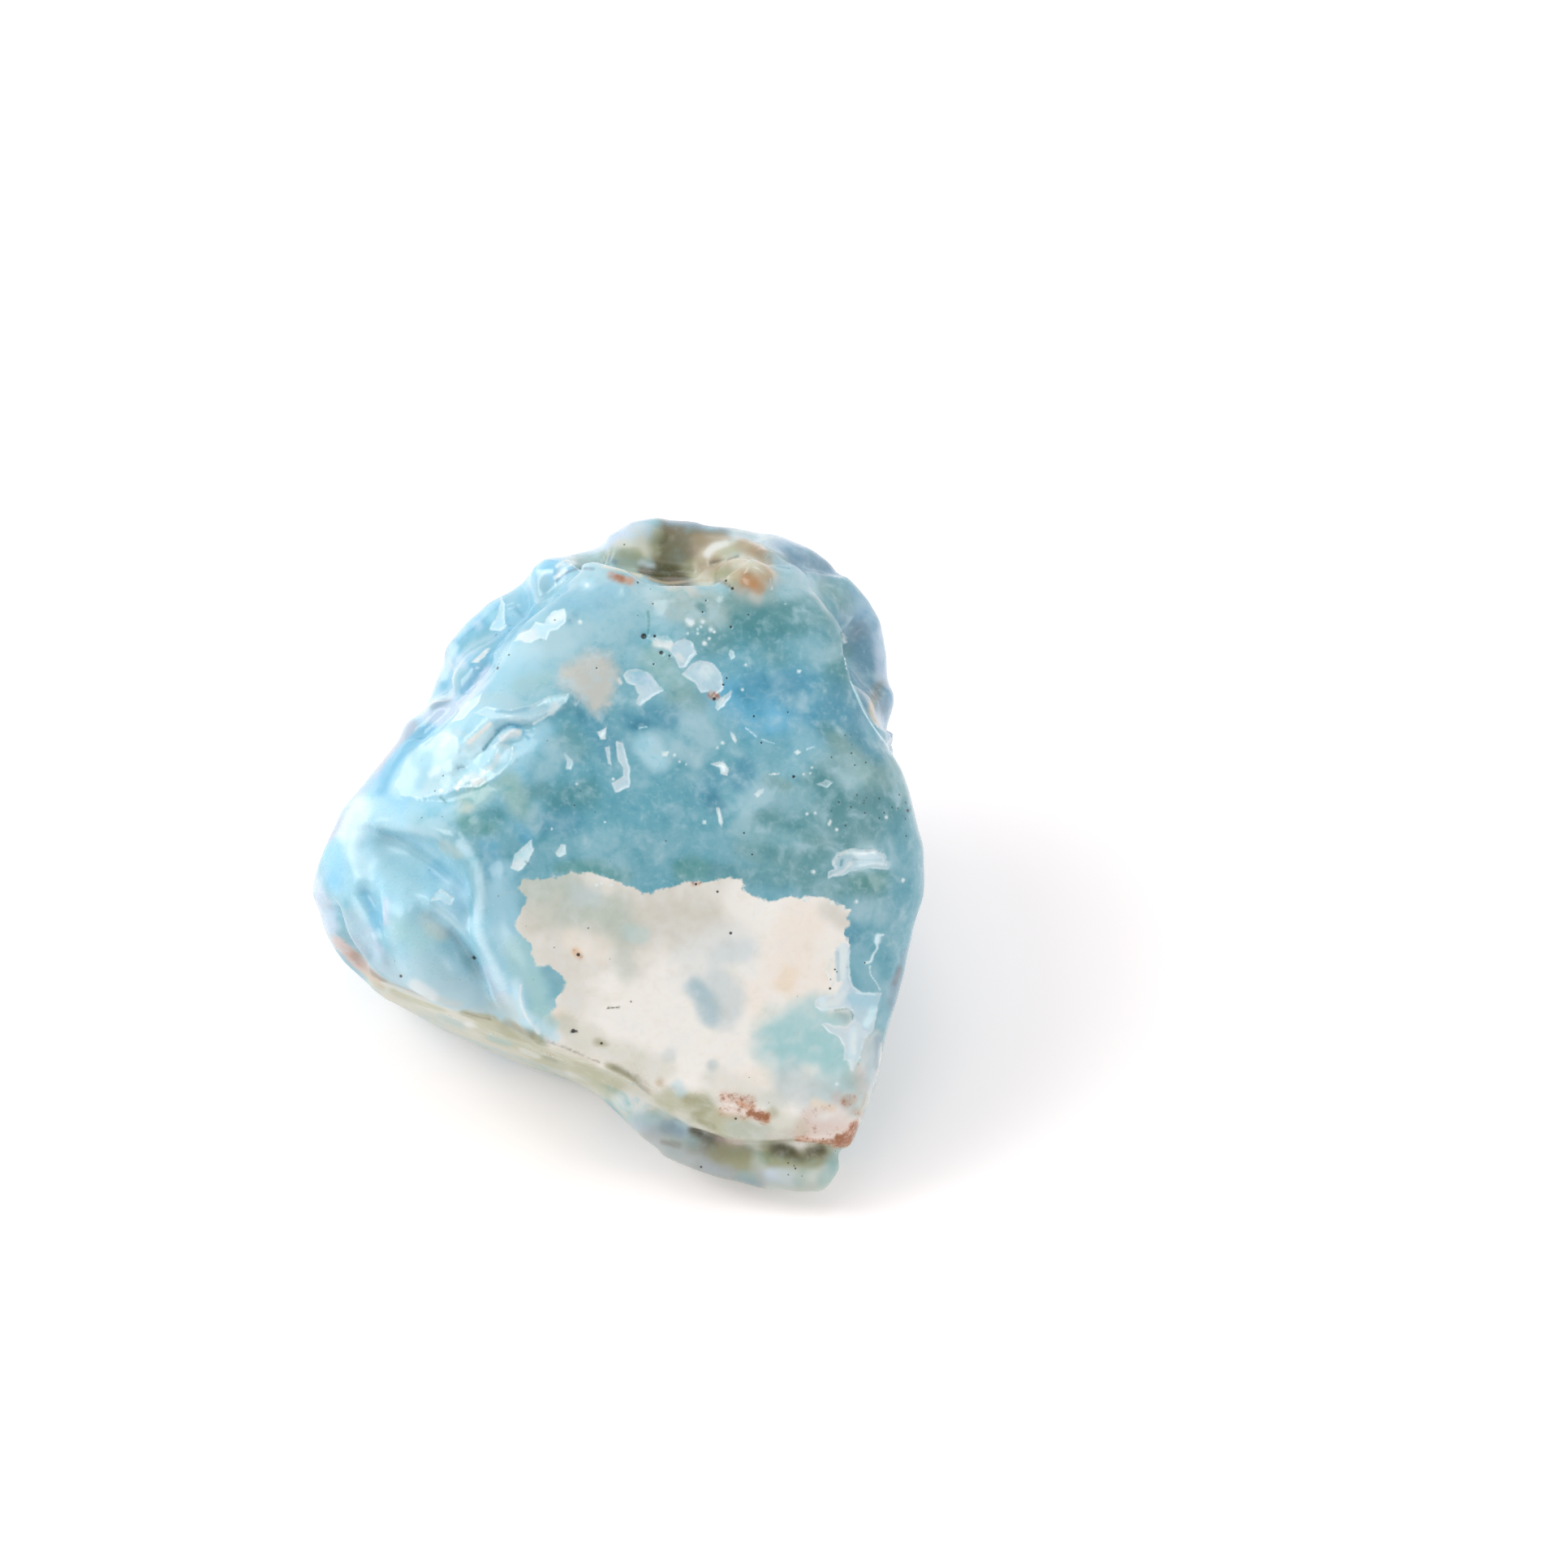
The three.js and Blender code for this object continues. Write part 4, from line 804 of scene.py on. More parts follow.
# Dark freckles, [radius, strength, path].
FRECKLES = [
    [1.6, 1.0, [(13.6, 3.6), (15.8, 3.2)]],
    [0.7, 0.8, [(-3.4, 4.2), (-2.9, 3.6)]],
    [0.5, 0.8, [(-11.8, 3.8), (-11.2, 3.7)]],
    [1.4, 0.5, [(0.6, 15.8), (5.6, 16.2)]],
    [0.9, 0.7, [(12.4, -7.0)]],
    [1.2, 0.7, [(9.0, -18.2), (11.0, -18.0)]],
    [1.0, 0.5, [(12.4, 7.0), (13.4, 5.8)]],
]

# Pale spots, [x, y, radius], painted in chalk: painted highlights, the glints of tiny pits and specks.
SPOTS = [
    (3.5, 14.35, 0.24), (3.3, 14.5, 0.15), (4.2, 14.4, 0.16), (4.1, 14.1, 0.12), (4.7, 13.95, 0.2),
    (4.9, 13.8, 0.12), (3.9, 13.95, 0.12), (4.3, 13.1, 0.16), (4.6, 13.4, 0.1), (3.3, 13.7, 0.09),
    (3.9, 13.7, 0.12), (-2.8, 16.6, 0.18), (5.4, 7.1, 0.12), (5.1, 6.8, 0.08), (10.8, 5.6, 0.1),
    (10.3, 5.2, 0.09), (10.7, 5.25, 0.08), (11.0, 2.85, 0.1), (10.5, 2.8, 0.1), (12.3, 1.85, 0.1),
    (15.3, 2.6, 0.09), (6.8, 11.8, 0.1), (6.6, 10.3, 0.09), (2.5, 6.35, 0.1), (2.8, 5.95, 0.08),
    (3.2, 5.8, 0.06), (10.9, -0.7, 0.14), (16.3, -1.2, 0.12), (13.5, -2.5, 0.12), (10.4, -2.4, 0.12),
    (10.6, -2.3, 0.08), (12.0, -2.6, 0.1), (12.3, -13.5, 0.12), (-1.7, 2.3, 0.06), (-4.9, 1.9, 0.07),
    (-3.4, 4.6, 0.12), (-1.2, 4.9, 0.12), (-2.2, -1.5, 0.12), (-1.9, -1.4, 0.1), (-1.3, -1.5, 0.1),
    (-10.1, 5.0, 0.18), (-10.7, 4.4, 0.16), (-11.6, 4.2, 0.14), (-3.2, 14.4, 0.16), (9.2, 15.5, 0.06),
]

# Thin lines, [colour, half width, strength, path]: dark and coloured marks of the rock, and painted light.
# The chalk, glow and pearl lines on crests, edges and chips are painted highlights; the blue lines in the
# shoulder's crease are painted shade.
LINES = [
    # Painted highlight along the end of the lobe's ridge.
    ["chalk", 0.1, 0.9, [(-6.75, -7.5), (-6.8, -8.3), (-6.6, -9.1), (-6.2, -9.8), (-5.7, -10.4)]],
    ["taupe", 0.07, 0.6, [(-5.6, -10.8), (-4.4, -11.2), (-3.0, -11.8), (-2.0, -12.2)]],
    ["taupe", 0.06, 0.5, [(-10.1, -9.2), (-9.3, -9.45), (-8.6, -9.6)]],
    ["clay", 0.15, 0.5, [(-5.1, -11.55), (-4.8, -11.8)]],
    # Painted highlights on the crown's left end and the bar under the knob.
    ["chalk", 0.16, 0.9, [(-4.7, 17.05), (-4.3, 17.35), (-4.1, 17.5)]],
    ["chalk", 0.12, 0.8, [(-4.6, 17.75), (-4.2, 18.05), (-3.9, 18.1)]],
    ["glow", 0.16, 0.7, [(-5.7, 17.4), (-5.0, 17.4)]],
    ["chalk", 0.1, 1.0, [(-4.7, 16.65)]],
    ["chalk", 0.06, 0.9, [(-4.35, 16.8), (-4.1, 16.9)]],
    ["chalk", 0.3, 0.8, [(-4.8, 14.5), (-4.3, 14.8)]],
    ["pearl", 0.35, 0.6, [(-6.5, 13.5), (-6.1, 13.6)]],
    ["pearl", 0.12, 0.8, [(-9.5, 12.0), (-8.85, 12.7)]],
    ["frost", 0.05, 0.8, [(-7.6, 15.4), (-7.2, 15.55)]],
    ["frost", 0.05, 0.8, [(-7.5, 15.15), (-6.9, 15.4)]],
    ["steel", 0.1, 0.8, [(-4.6, 16.9), (-3.9, 17.4), (-3.2, 17.6), (-2.4, 17.6)]],
    # The shoulder: the chalk, glow and pearl lines here are painted highlights.
    ["ice", 0.7, 0.7, [(-12.9, 6.3), (-12.5, 5.9)]],
    ["haze", 0.8, 0.5, [(-12.4, 4.7), (-11.0, 5.2)]],
    ["glow", 0.4, 0.4, [(-11.9, 5.4), (-11.4, 6.9)]],
    ["chalk", 0.16, 1.0, [(-9.1, 5.2), (-8.7, 5.6), (-8.3, 6.0), (-8.15, 6.35)]],
    ["chalk", 0.14, 0.9, [(-7.4, 8.6), (-6.9, 8.6)]],
    ["chalk", 0.1, 0.9, [(-6.0, 8.25), (-5.4, 8.6), (-4.8, 9.0), (-4.5, 9.3)]],
    ["glow", 0.25, 0.6, [(-5.2, 9.6), (-4.3, 9.8)]],
    # Painted light that lifts the shade of the hollow under the fold.
    ["frost", 0.8, 0.8, [(-10.6, 6.2), (-9.8, 6.8), (-9.0, 7.6)]],
    ["glow", 0.45, 0.7, [(-9.9, 6.6), (-9.5, 7.2), (-8.8, 8.0)]],
    ["cream", 0.16, 0.9, [(-9.9, 7.1), (-9.2, 7.7), (-8.6, 8.25)]],
    ["haze", 0.2, 0.8, [(-10.8, 7.8), (-10.1, 7.5)]],
    ["frost", 0.35, 0.8, [(-8.6, 8.7), (-7.6, 8.75), (-6.6, 8.5), (-5.6, 8.8), (-4.6, 9.4)]],
    # Painted shade along the crease under the fold.
    ["azure", 0.2, 0.9, [(-8.2, 7.8), (-7.5, 8.15), (-6.8, 8.0)]],
    ["deep", 0.09, 0.7, [(-8.0, 7.95), (-7.5, 8.2), (-7.0, 8.1)]],
    ["pearl", 0.25, 0.8, [(-7.9, 7.4), (-7.5, 7.65), (-6.9, 7.75)]],
    ["chalk", 0.25, 0.8, [(-4.95, 8.9), (-4.7, 9.4)]],
    # Painted shade along the crease.
    ["lagoon", 0.12, 0.9, [(-9.0, 6.7), (-8.5, 7.3), (-8.1, 7.8)]],
    ["azure", 0.45, 0.6, [(-15.2, 4.3), (-14.6, 5.6), (-13.8, 6.6), (-13.0, 7.3), (-12.4, 7.8)]],
    ["chalk", 0.25, 0.5, [(-11.6, 7.0), (-11.2, 7.4)]],
    ["cream", 0.16, 0.9, [(-8.6, 5.5), (-8.3, 5.9), (-8.15, 6.3)]],
    ["cream", 0.14, 0.9, [(-10.6, 4.3), (-10.4, 4.8)]],
    ["cream", 0.2, 0.8, [(-9.5, 4.7), (-9.1, 4.85)]],
    ["ice", 0.35, 0.6, [(-12.9, 4.5), (-12.4, 5.3)]],
    ["chalk", 0.25, 0.6, [(-12.2, 5.2), (-11.8, 5.5)]],
    ["pearl", 0.3, 0.5, [(-9.8, 5.0), (-9.2, 4.8)]],
    ["ice", 0.6, 0.5, [(-8.6, 6.0), (-7.8, 6.2)]],
    ["steel", 0.16, 0.6, [(-10.6, 5.55), (-10.25, 5.6)]],
    ["teal", 0.1, 0.6, [(-10.1, 4.6), (-9.9, 4.7)]],
    ["teal", 0.1, 0.6, [(-11.6, 3.8), (-11.3, 3.5)]],
    ["azure", 0.14, 0.8, [(-6.6, 7.7), (-6.3, 7.3)]],
    # Painted highlights on the chips of the main face.
    ["chalk", 0.35, 0.8, [(-7.0, -0.3), (-6.9, 0.0)]],
    ["pearl", 0.3, 0.9, [(1.4, 13.15), (2.1, 13.05)]],
    ["pearl", 0.2, 0.8, [(2.75, 12.35), (2.95, 12.1)]],
    ["chalk", 0.4, 0.7, [(4.35, 11.4), (4.5, 11.2)]],
    ["chalk", 0.12, 0.8, [(5.2, 9.4), (5.45, 9.7)]],
    ["pearl", 0.12, 0.8, [(-0.85, 10.9), (-0.75, 10.7)]],
    ["lilac", 0.4, 0.6, [(0.3, 11.0), (0.9, 10.9)]],
    # Painted highlights in the bracket and the star, with a few dark marks.
    ["chalk", 0.13, 0.9, [(12.9, 0.5), (13.8, 0.4), (14.6, 0.5)]],
    ["chalk", 0.1, 0.9, [(13.7, -0.3), (14.6, -0.2), (15.1, -0.25)]],
    ["pearl", 0.12, 0.8, [(12.1, -0.25), (12.3, 0.2), (12.7, 0.45)]],
    ["pearl", 0.12, 0.8, [(12.0, -0.9), (12.7, -0.65), (13.1, -0.2)]],
    ["teal", 0.1, 0.6, [(12.55, -0.3), (12.6, 0.0)]],
    ["sage", 0.06, 0.6, [(13.3, 0.05), (14.2, 0.02), (15.0, 0.05)]],
    ["chalk", 0.2, 0.9, [(12.7, -5.35), (12.65, -7.0)]],
    ["pearl", 0.35, 0.6, [(11.4, -8.7), (12.2, -8.5)]],
    ["glow", 0.28, 1.0, [(14.5, -9.0), (14.3, -9.5), (14.1, -9.9)]],
    ["ice", 0.5, 0.6, [(13.2, -8.4), (14.4, -8.5)]],
    ["glow", 0.08, 0.7, [(13.5, -8.0), (14.6, -8.1)]],
    ["haze", 0.14, 0.7, [(12.3, -5.6), (12.35, -6.4), (12.4, -7.2)]],
    ["chalk", 0.2, 0.9, [(12.65, -5.2), (12.75, -5.8), (12.7, -6.3)]],
    ["glow", 0.3, 0.8, [(11.4, -8.5), (11.5, -8.9)]],
    ["chalk", 0.3, 0.6, [(11.4, -8.8), (12.2, -8.6), (12.7, -8.1)]],
    ["glow", 0.25, 0.6, [(13.3, -10.2), (13.25, -11.2), (13.2, -12.2)]],
    ["chalk", 0.13, 0.9, [(13.35, -10.5), (13.3, -11.1), (13.35, -11.6)]],
    ["chalk", 0.12, 0.8, [(13.2, -12.1), (13.2, -12.6)]],
    ["chalk", 0.07, 0.9, [(13.7, -11.9)]],
    ["clay", 0.08, 0.8, [(13.6, -12.3)]],
    ["sage", 0.08, 0.7, [(12.2, -9.05), (13.0, -9.0), (13.3, -9.4)]],
    # A painted highlight along the crest of the right edge.
    ["glow", 0.07, 1.0, [
        (12.8, 12.2), (12.95, 11.5), (13.2, 10.7), (13.5, 10.0), (14.0, 8.9), (14.7, 7.8), (15.3, 7.0),
        (15.8, 6.2)]],
    ["jade", 0.09, 0.6, [(0.9, 15.0), (0.95, 14.4), (0.9, 13.7)]],
    ["glow", 0.2, 0.9, [(14.8, -4.6), (14.75, -4.9)]],
    ["glow", 0.08, 0.9, [
        (15.1, -4.5), (14.75, -4.6), (14.7, -5.0), (14.75, -5.3), (14.5, -5.7), (14.35, -6.1),
        (14.05, -6.2)]],
    ["glow", 0.05, 0.8, [(14.3, -6.4), (14.35, -6.9), (14.7, -7.4), (14.9, -7.8)]],
    ["frost", 0.05, 1.0, [(6.8, 8.0), (7.4, 7.5)]],
    ["frost", 0.05, 1.0, [(7.8, 7.3), (8.5, 7.05)]],
    ["frost", 0.07, 1.0, [(10.5, 6.7), (10.9, 6.85)]],
    ["frost", 0.06, 1.0, [(0.4, 8.0), (0.8, 8.05)]],
    ["peat", 0.06, 1.0, [(-1.5, -8.9), (-0.9, -8.9)]],
    ["clay", 0.08, 0.6, [(0.9, 17.05), (2.0, 16.75), (3.4, 16.85), (4.8, 16.9)]],
    ["azure", 0.12, 0.6, [(-8.2, 9.0), (-7.2, 8.95), (-6.3, 9.2)]],
    ["grain", 0.07, 1.0, [(-3.7, -10.35), (-3.4, -10.3)]],
]

# The outlines of the pale rock, which has a crisp ragged edge, and of a tan patch, which has a vague one.
PALE_PATCH = [
    (-6.6, -1.1), (-5.4, -1.1), (-3.8, -0.7), (-2.6, -0.7), (-1.2, -1.1), (-0.4, -1.5), (0.6, -2.0),
    (1.4, -1.8), (2.2, -1.5), (3.4, -1.3), (4.8, -1.25), (6.0, -1.1), (6.6, -1.2), (6.8, -1.9), (7.6, -2.4),
    (8.6, -2.4), (10.0, -2.2), (11.4, -2.2), (12.4, -2.6), (13.1, -3.0), (13.0, -3.6), (12.8, -4.4),
    (13.0, -5.2), (13.0, -7.6), (13.2, -9.4), (14.4, -10.7), (15.6, -11.4), (15.6, -15.0), (14.6, -17.6),
    (12.0, -18.2), (9.0, -17.8), (6.0, -17.2), (4.0, -16.4), (2.0, -15.2), (-0.2, -14.2), (-3.0, -12.9),
    (-5.0, -11.8), (-5.4, -10.6), (-5.4, -9.4), (-4.7, -8.8), (-4.5, -8.2), (-4.0, -7.7), (-4.3, -6.9),
    (-5.0, -6.4), (-5.9, -6.3), (-6.2, -5.6), (-6.2, -5.0), (-6.8, -4.6), (-7.1, -3.9), (-6.7, -2.9),
    (-6.3, -2.3), (-6.9, -1.7),
]
TAN_PATCH = [
    (-4.7, 11.0), (-4.2, 11.9), (-3.4, 12.3), (-2.6, 12.9), (-1.4, 12.5), (-0.7, 11.4), (-0.9, 10.2),
    (-1.5, 9.1), (-2.2, 8.5), (-2.9, 9.2), (-3.6, 9.9), (-4.4, 10.3),
]

# Brush strokes on the side of the stone that faces away from the viewer, laid before the others.
BACK_STROKES = [
    ["ice", 5.0, 0.9, [(-16, 2), (-12, -4)]],
    ["lagoon", 5.0, 0.8, [(4, 12), (10, 6)]],
    ["mist", 4.0, 0.9, [(-8, 10), (-3, 15), (4, 17)]],
    ["azure", 3.4, 0.9, [(-6, 3), (0, 5)]],
    ["teal", 2.6, 0.8, [(7, 10), (10, 3)]],
    ["deep", 2.2, 0.8, [(-2, 10), (3, 8.5)]],
    ["frost", 2.6, 0.7, [(-12, 7), (-9, 2)]],
    ["sage", 3.0, 0.8, [(12, -2), (14, -8), (14, -14)]],
    ["straw", 4.5, 0.9, [(-12, -7), (-2, -11), (8, -15)]],
    ["khaki", 2.4, 0.7, [(-6, -9), (3, -13)]],
    ["bark", 1.2, 0.6, [(2, 12), (4, 10), (5, 7)]],
    ["rust", 0.7, 0.6, [(4, 6.6), (6, 4)]],
    ["clay", 1.5, 0.6, [(1, 12.6), (3, 14)]],
]

# The satin stretches, [radius, strength, path].
ROUGH = [
    [2.6, 1.0, [(-6.0, 12.4), (-4.0, 13.4)]],
    [1.8, 1.0, [(12.6, 5.6), (13.4, 3.0)]],
    [4.5, 0.5, [(-17, 1), (-13.5, -2.5), (-10.5, -6.5)]],
    [2.4, 1.0, [(-15, -8.2), (-9, -11.2), (-3.4, -13.4), (1.6, -15.6)]],
    [1.8, 1.0, [(-16.5, -6.2), (-12.0, -8.4), (-9.0, -9.4), (-6.0, -10.6), (-2.0, -12.2)]],
    [2.6, 1.0, [(2.4, -17.2), (7.0, -18.6), (12.0, -18.8)]],
    [1.6, 0.8, [(4, -15.4), (9, -16)]],
    [1.6, 0.8, [(0, 18.6), (3, 18.8), (6, 19.4)]],
    [0.9, 1.0, [(8.6, 18.0), (10.2, 17.2), (11.6, 15.8), (12.5, 14.0)]],
]

# ---------------------------------------------------------------- mesh

WELD = 0.001  # points no further apart than this are one
FRONT_EDGE = 0.27  # the longest edges left on the side that faces the viewer,
BACK_EDGE = 0.9  # on the other side,
CRISP_EDGE = 0.115  # and along facets' outlines, thin lines, pits and spots
CRISP_REACH = 0.17  # how far from those the edges are that short
FACING = 0.1  # a place faces the viewer where its normal's z is above this,
AVERTED = -0.25  # and faces away where that is below this
REFINEMENTS = 7


def smooth_surface(node):
    """The CAD stone with its flat facets smoothed, as a search tree in the face frame."""
    copy = bpy.data.objects.new("smooth", node.data.copy())
    bpy.context.scene.collection.objects.link(copy)
    bm = welded(copy.data)
    bm.to_mesh(copy.data)
    bm.free()
    rounding = copy.modifiers.new("rounding", "SUBSURF")
    rounding.levels = 2
    mesh = copy.evaluated_get(bpy.context.evaluated_depsgraph_get()).to_mesh()
    points = row_to_face(coordinates(mesh))
    polygons = [tuple(p.vertices) for p in mesh.polygons]
    tree = BVHTree.FromPolygons([Vector(p) for p in points], polygons)
    data = copy.data
    bpy.data.objects.remove(copy)
    bpy.data.meshes.remove(data)
    return tree


def welded(mesh):
    """An editable copy of the mesh whose triangles share their corners."""
    bm = bmesh.new()
    bm.from_mesh(mesh)
    bmesh.ops.remove_doubles(bm, verts=bm.verts, dist=WELD * MM)
    return bm


def coordinates(mesh):
    flat = np.empty(len(mesh.vertices) * 3)
    mesh.vertices.foreach_get("co", flat)
    return flat.reshape(-1, 3)


def refined(node):
    """The CAD stone's mesh with its long edges split until they suit what they lie on."""
    crisp = crisp_places()
    bm = welded(node.data)
    for _ in range(REFINEMENTS):
        bm.normal_update()
        bm.verts.index_update()
        long_edges = too_long(bm, crisp)
        if not long_edges:
            break
        bmesh.ops.subdivide_edges(bm, edges=long_edges, cuts=1)
        bmesh.ops.triangulate(bm, faces=[f for f in bm.faces if len(f.verts) > 3])
    mesh = bpy.data.meshes.new("larimar")
    bm.to_mesh(mesh)
    bm.free()
    return mesh


def crisp_places():
    """A search tree of (x, y, 0) places that need short edges."""
    STEP = 0.1
    paths = [outline + outline[:1] for *_, outline in FACETS]
    paths += [path for *_, path in LINES]
    places = [(x, y) for x, y, _ in PITS + SPOTS]
    for path in paths:
        for (ax, ay), (bx, by) in zip(path, path[1:]):
            count = max(int(math.hypot(bx - ax, by - ay) / STEP), 1)
            places += [(ax + (bx - ax) * i / count, ay + (by - ay) * i / count) for i in range(count)]
    tree = KDTree(len(places))
    for index, (x, y) in enumerate(places):
        tree.insert((x, y, 0), index)
    tree.balance()
    return tree


def too_long(bm, crisp):
    """The edges that are longer than the place that they are in asks for."""
    points = row_to_face([v.co[:] for v in bm.verts])
    facing = np.array([v.normal[:] for v in bm.verts]) @ np.array(turned((0, 0, 1)))
    ends = np.array([(e.verts[0].index, e.verts[1].index) for e in bm.edges])
    length = np.linalg.norm(points[ends[:, 0]] - points[ends[:, 1]], axis=1)
    towards = facing[ends].mean(1)
    share = np.clip((towards - AVERTED) / (FACING - AVERTED), 0, 1)
    wanted = BACK_EDGE + (FRONT_EDGE - BACK_EDGE) * share
    middle = seen(points[ends].mean(1))
    for index in np.flatnonzero((length > CRISP_EDGE) & (length <= wanted) & (towards > FACING)):
        x, y = middle[index]
        if crisp.find((x, y, 0))[2] < CRISP_REACH:
            wanted[index] = CRISP_EDGE
    edges = list(bm.edges)
    return [edges[i] for i in np.flatnonzero(length > wanted)]


def triangles_of(mesh):
    """The indices of each triangle's corners."""
    flat = np.empty(len(mesh.polygons) * 3, dtype=np.int64)
    mesh.polygons.foreach_get("vertices", flat)
    return flat.reshape(-1, 3)


def vertex_normals(points, triangles):
    """The mean direction of the triangles round each point, by their areas."""
    TINY = 1e-12
    corners = points[triangles]
    flat = np.cross(corners[:, 1] - corners[:, 0], corners[:, 2] - corners[:, 0])
    normals = np.zeros_like(points)
    for corner in range(3):
        np.add.at(normals, triangles[:, corner], flat)
    return normals / np.maximum(np.linalg.norm(normals, axis=1, keepdims=True), TINY)


def smoothed(points, triangles, times):
    """The points, each moved halfway to the mean of its neighbours, several times over."""
    ends = np.concatenate([triangles[:, [0, 1]], triangles[:, [1, 2]], triangles[:, [2, 0]]])
    number = np.bincount(ends.ravel(), minlength=len(points))[:, None]
    for _ in range(times):
        total = np.zeros_like(points)
        np.add.at(total, ends[:, 0], points[ends[:, 1]])
        np.add.at(total, ends[:, 1], points[ends[:, 0]])
        points = 0.5 * points + 0.5 * total / number
    return points


# ---------------------------------------------------------------- laying things on the stone


def laid(points, tree, side=1):
    """(x, y) places on the front of the stone (side 1), or as seen from straight behind it (side -1)."""
    viewer = Vector((0, 0, side * VIEW_DISTANCE))
    found = []
    for x, y in points:
        spot = tree.ray_cast(viewer, Vector((x, y, side * PICTURE_DEPTH)) - viewer)[0]
        if spot:
            found.append(spot)
    return np.array(found).reshape(-1, 3)


def smooth_path(points, step=0.25):
    """A smooth curve through the points, about a step apart (Catmull-Rom)."""
    if len(points) == 1:
        return list(points)
    p = [np.array(points[0])] + [np.array(q) for q in points] + [np.array(points[-1])]
    curve = []
    for a, b, c, d in zip(p, p[1:], p[2:], p[3:]):
        count = max(int(np.linalg.norm(c - b) / step), 1)
        for t in np.arange(count) / count:
            curve.append(b + 0.5 * t * (c - a + t * (2 * a - 5 * b + 4 * c - d + t * (3 * (b - c) + d - a))))
    return curve + [p[-1]]


def near(points, track, reach):
    """Which points lie in the track's box grown by reach."""
    inside = (points > track.min(0) - reach) & (points < track.max(0) + reach)
    return np.flatnonzero(inside.all(1))


def nearest(points, track):
    """Each point's distance to the track, and the index of the nearest place on it."""
    gaps = np.linalg.norm(points[:, None, :] - track[None, :, :], axis=2)
    index = gaps.argmin(1)
    return gaps[np.arange(len(points)), index], index


def outline_distance(xy, outline):
    """Signed distance from a closed outline, below 0 inside it."""
    FAR = 1e9
    LEVEL = 1e-9  # stands in for the rise of a level edge
    corners = np.array(outline, dtype=float)
    least = np.full(len(xy), FAR)
    inside = np.zeros(len(xy), dtype=bool)
    for a, b in zip(corners, np.roll(corners, -1, axis=0)):
        edge = b - a
        t = np.clip(((xy - a) @ edge) / (edge @ edge), 0, 1)
        least = np.minimum(least, np.linalg.norm(xy - a - t[:, None] * edge, axis=1))
        crosses = (a[1] > xy[:, 1]) != (b[1] > xy[:, 1])
        at_x = a[0] + (xy[:, 1] - a[1]) * edge[0] / (edge[1] if edge[1] else LEVEL)
        inside ^= crosses & (xy[:, 0] < at_x)
    return np.where(inside, -least, least)


def smoothstep(value, low, high):
    t = np.clip((value - low) / (high - low), 0, 1)
    return t * t * (3 - 2 * t)


def fractal(points, wavelength, octaves, seed):
    """Smooth noise about 0 at the points, roughly from -1 to 1."""
    FALL_OFF = 1.0  # the higher, the fainter each octave is than the one before,
    FINER = 2.0  # and how much finer it is
    APART = Vector((17.3, 5.1, 9.7))  # how far one seed's noise is read from the next one's
    offset = APART * (seed + 1)
    scaled = points / wavelength
    return np.array([noise.fractal(Vector(p) + offset, FALL_OFF, FINER, octaves) for p in scaled])


def strays(points, wavelength, octaves, seeds):
    """How far each point strays to the right and up, each roughly from -1 to 1."""
    return np.stack([fractal(points, wavelength, octaves, seed) for seed in seeds], axis=1)


# ---------------------------------------------------------------- the stone's shape

# Lumps all over the skin, [height, wavelength, octaves, seed].
LUMPS = [
    (0.17, 6.5, 3, 1),
    (0.05, 2.4, 2, 2),
    (0.008, 0.9, 2, 3),
]

# Swells with clefts between them on the far side, the same.
SWELLS = (1.7, 8.0, 2, 4)
CLEFTS = (1.2, 4.0, 3, 10)

BASE_BAND = 2.5  # how high above the base the relief is full


def waves(points, height, wavelength, octaves, seed):
    """Lumps about height high, with about a wavelength from one to the next."""
    return height * fractal(points, wavelength, octaves, seed)


def fold_lift(points, normals, tree):
    """How far the folds lift each point."""
    REACH = 3  # how many widths from its path a fold is felt
    lift = np.zeros(len(points))
    places = flattened(points)
    for _, left, right, height, path in FOLDS:
        track = laid(smooth_path(path), tree)
        which = near(places, flattened(track), REACH * max(left, right))
        away, index = nearest(places[which], flattened(track))
        along = np.gradient(track, axis=0)[index] if len(track) > 1 else np.zeros((len(which), 3))
        across = np.cross(normals[which], along)
        on_left = (across * (points[which] - track[index])).sum(1) > 0
        width = np.where(on_left, left, right)
        lift[which] += height * np.exp(-((away / width) ** 2))
    return lift


def far_side_lift(points, normals):
    """How far the swells and the clefts lift each point that faces away from the viewer."""
    FULLY_AWAY = 0.5  # how far below 0 a normal's z is where they are full
    behind = smoothstep(-normals[:, 2], 0.0, FULLY_AWAY)
    return behind * (waves(points, *SWELLS) - abs(waves(points, *CLEFTS)))


def mirror_normal(place, lamp):
    """Which way a mirror at the place faces to show the lamp to the viewer."""
    direction, distance, *_ = LAMPS[lamp]
    to_lamp = np.array(direction) / np.linalg.norm(direction) * distance / MM - place
    to_viewer = np.array([0, 0, VIEW_DISTANCE]) - place
    half = to_lamp / np.linalg.norm(to_lamp) + to_viewer / np.linalg.norm(to_viewer)
    return half / np.linalg.norm(half)


def facet_depths(points, normals, tree):
    """For each facet, which points are in or near it, and how deep in it they lie as the viewer sees it."""
    MARGIN = 0.5  # how far past its outline a facet's points are looked for,
    DEPTH = 4  # and how far before or behind its middle
    RAGGED = 0.07  # how far the outline strays
    places = seen(points)
    front = normals[:, 2] > FACING
    found = []
    for *_, outline in FACETS:
        spot = laid([np.array(outline).mean(0)], tree)[0]
        which = near(places, np.array(outline), MARGIN)
        which = which[front[which] & (abs(points[which, 2] - spot[2]) < DEPTH)]
        ragged = places[which] + RAGGED * strays(points[which], wavelength=0.5, octaves=2, seeds=(8, 9))
        found.append((which, -outline_distance(ragged, outline)))
    return found


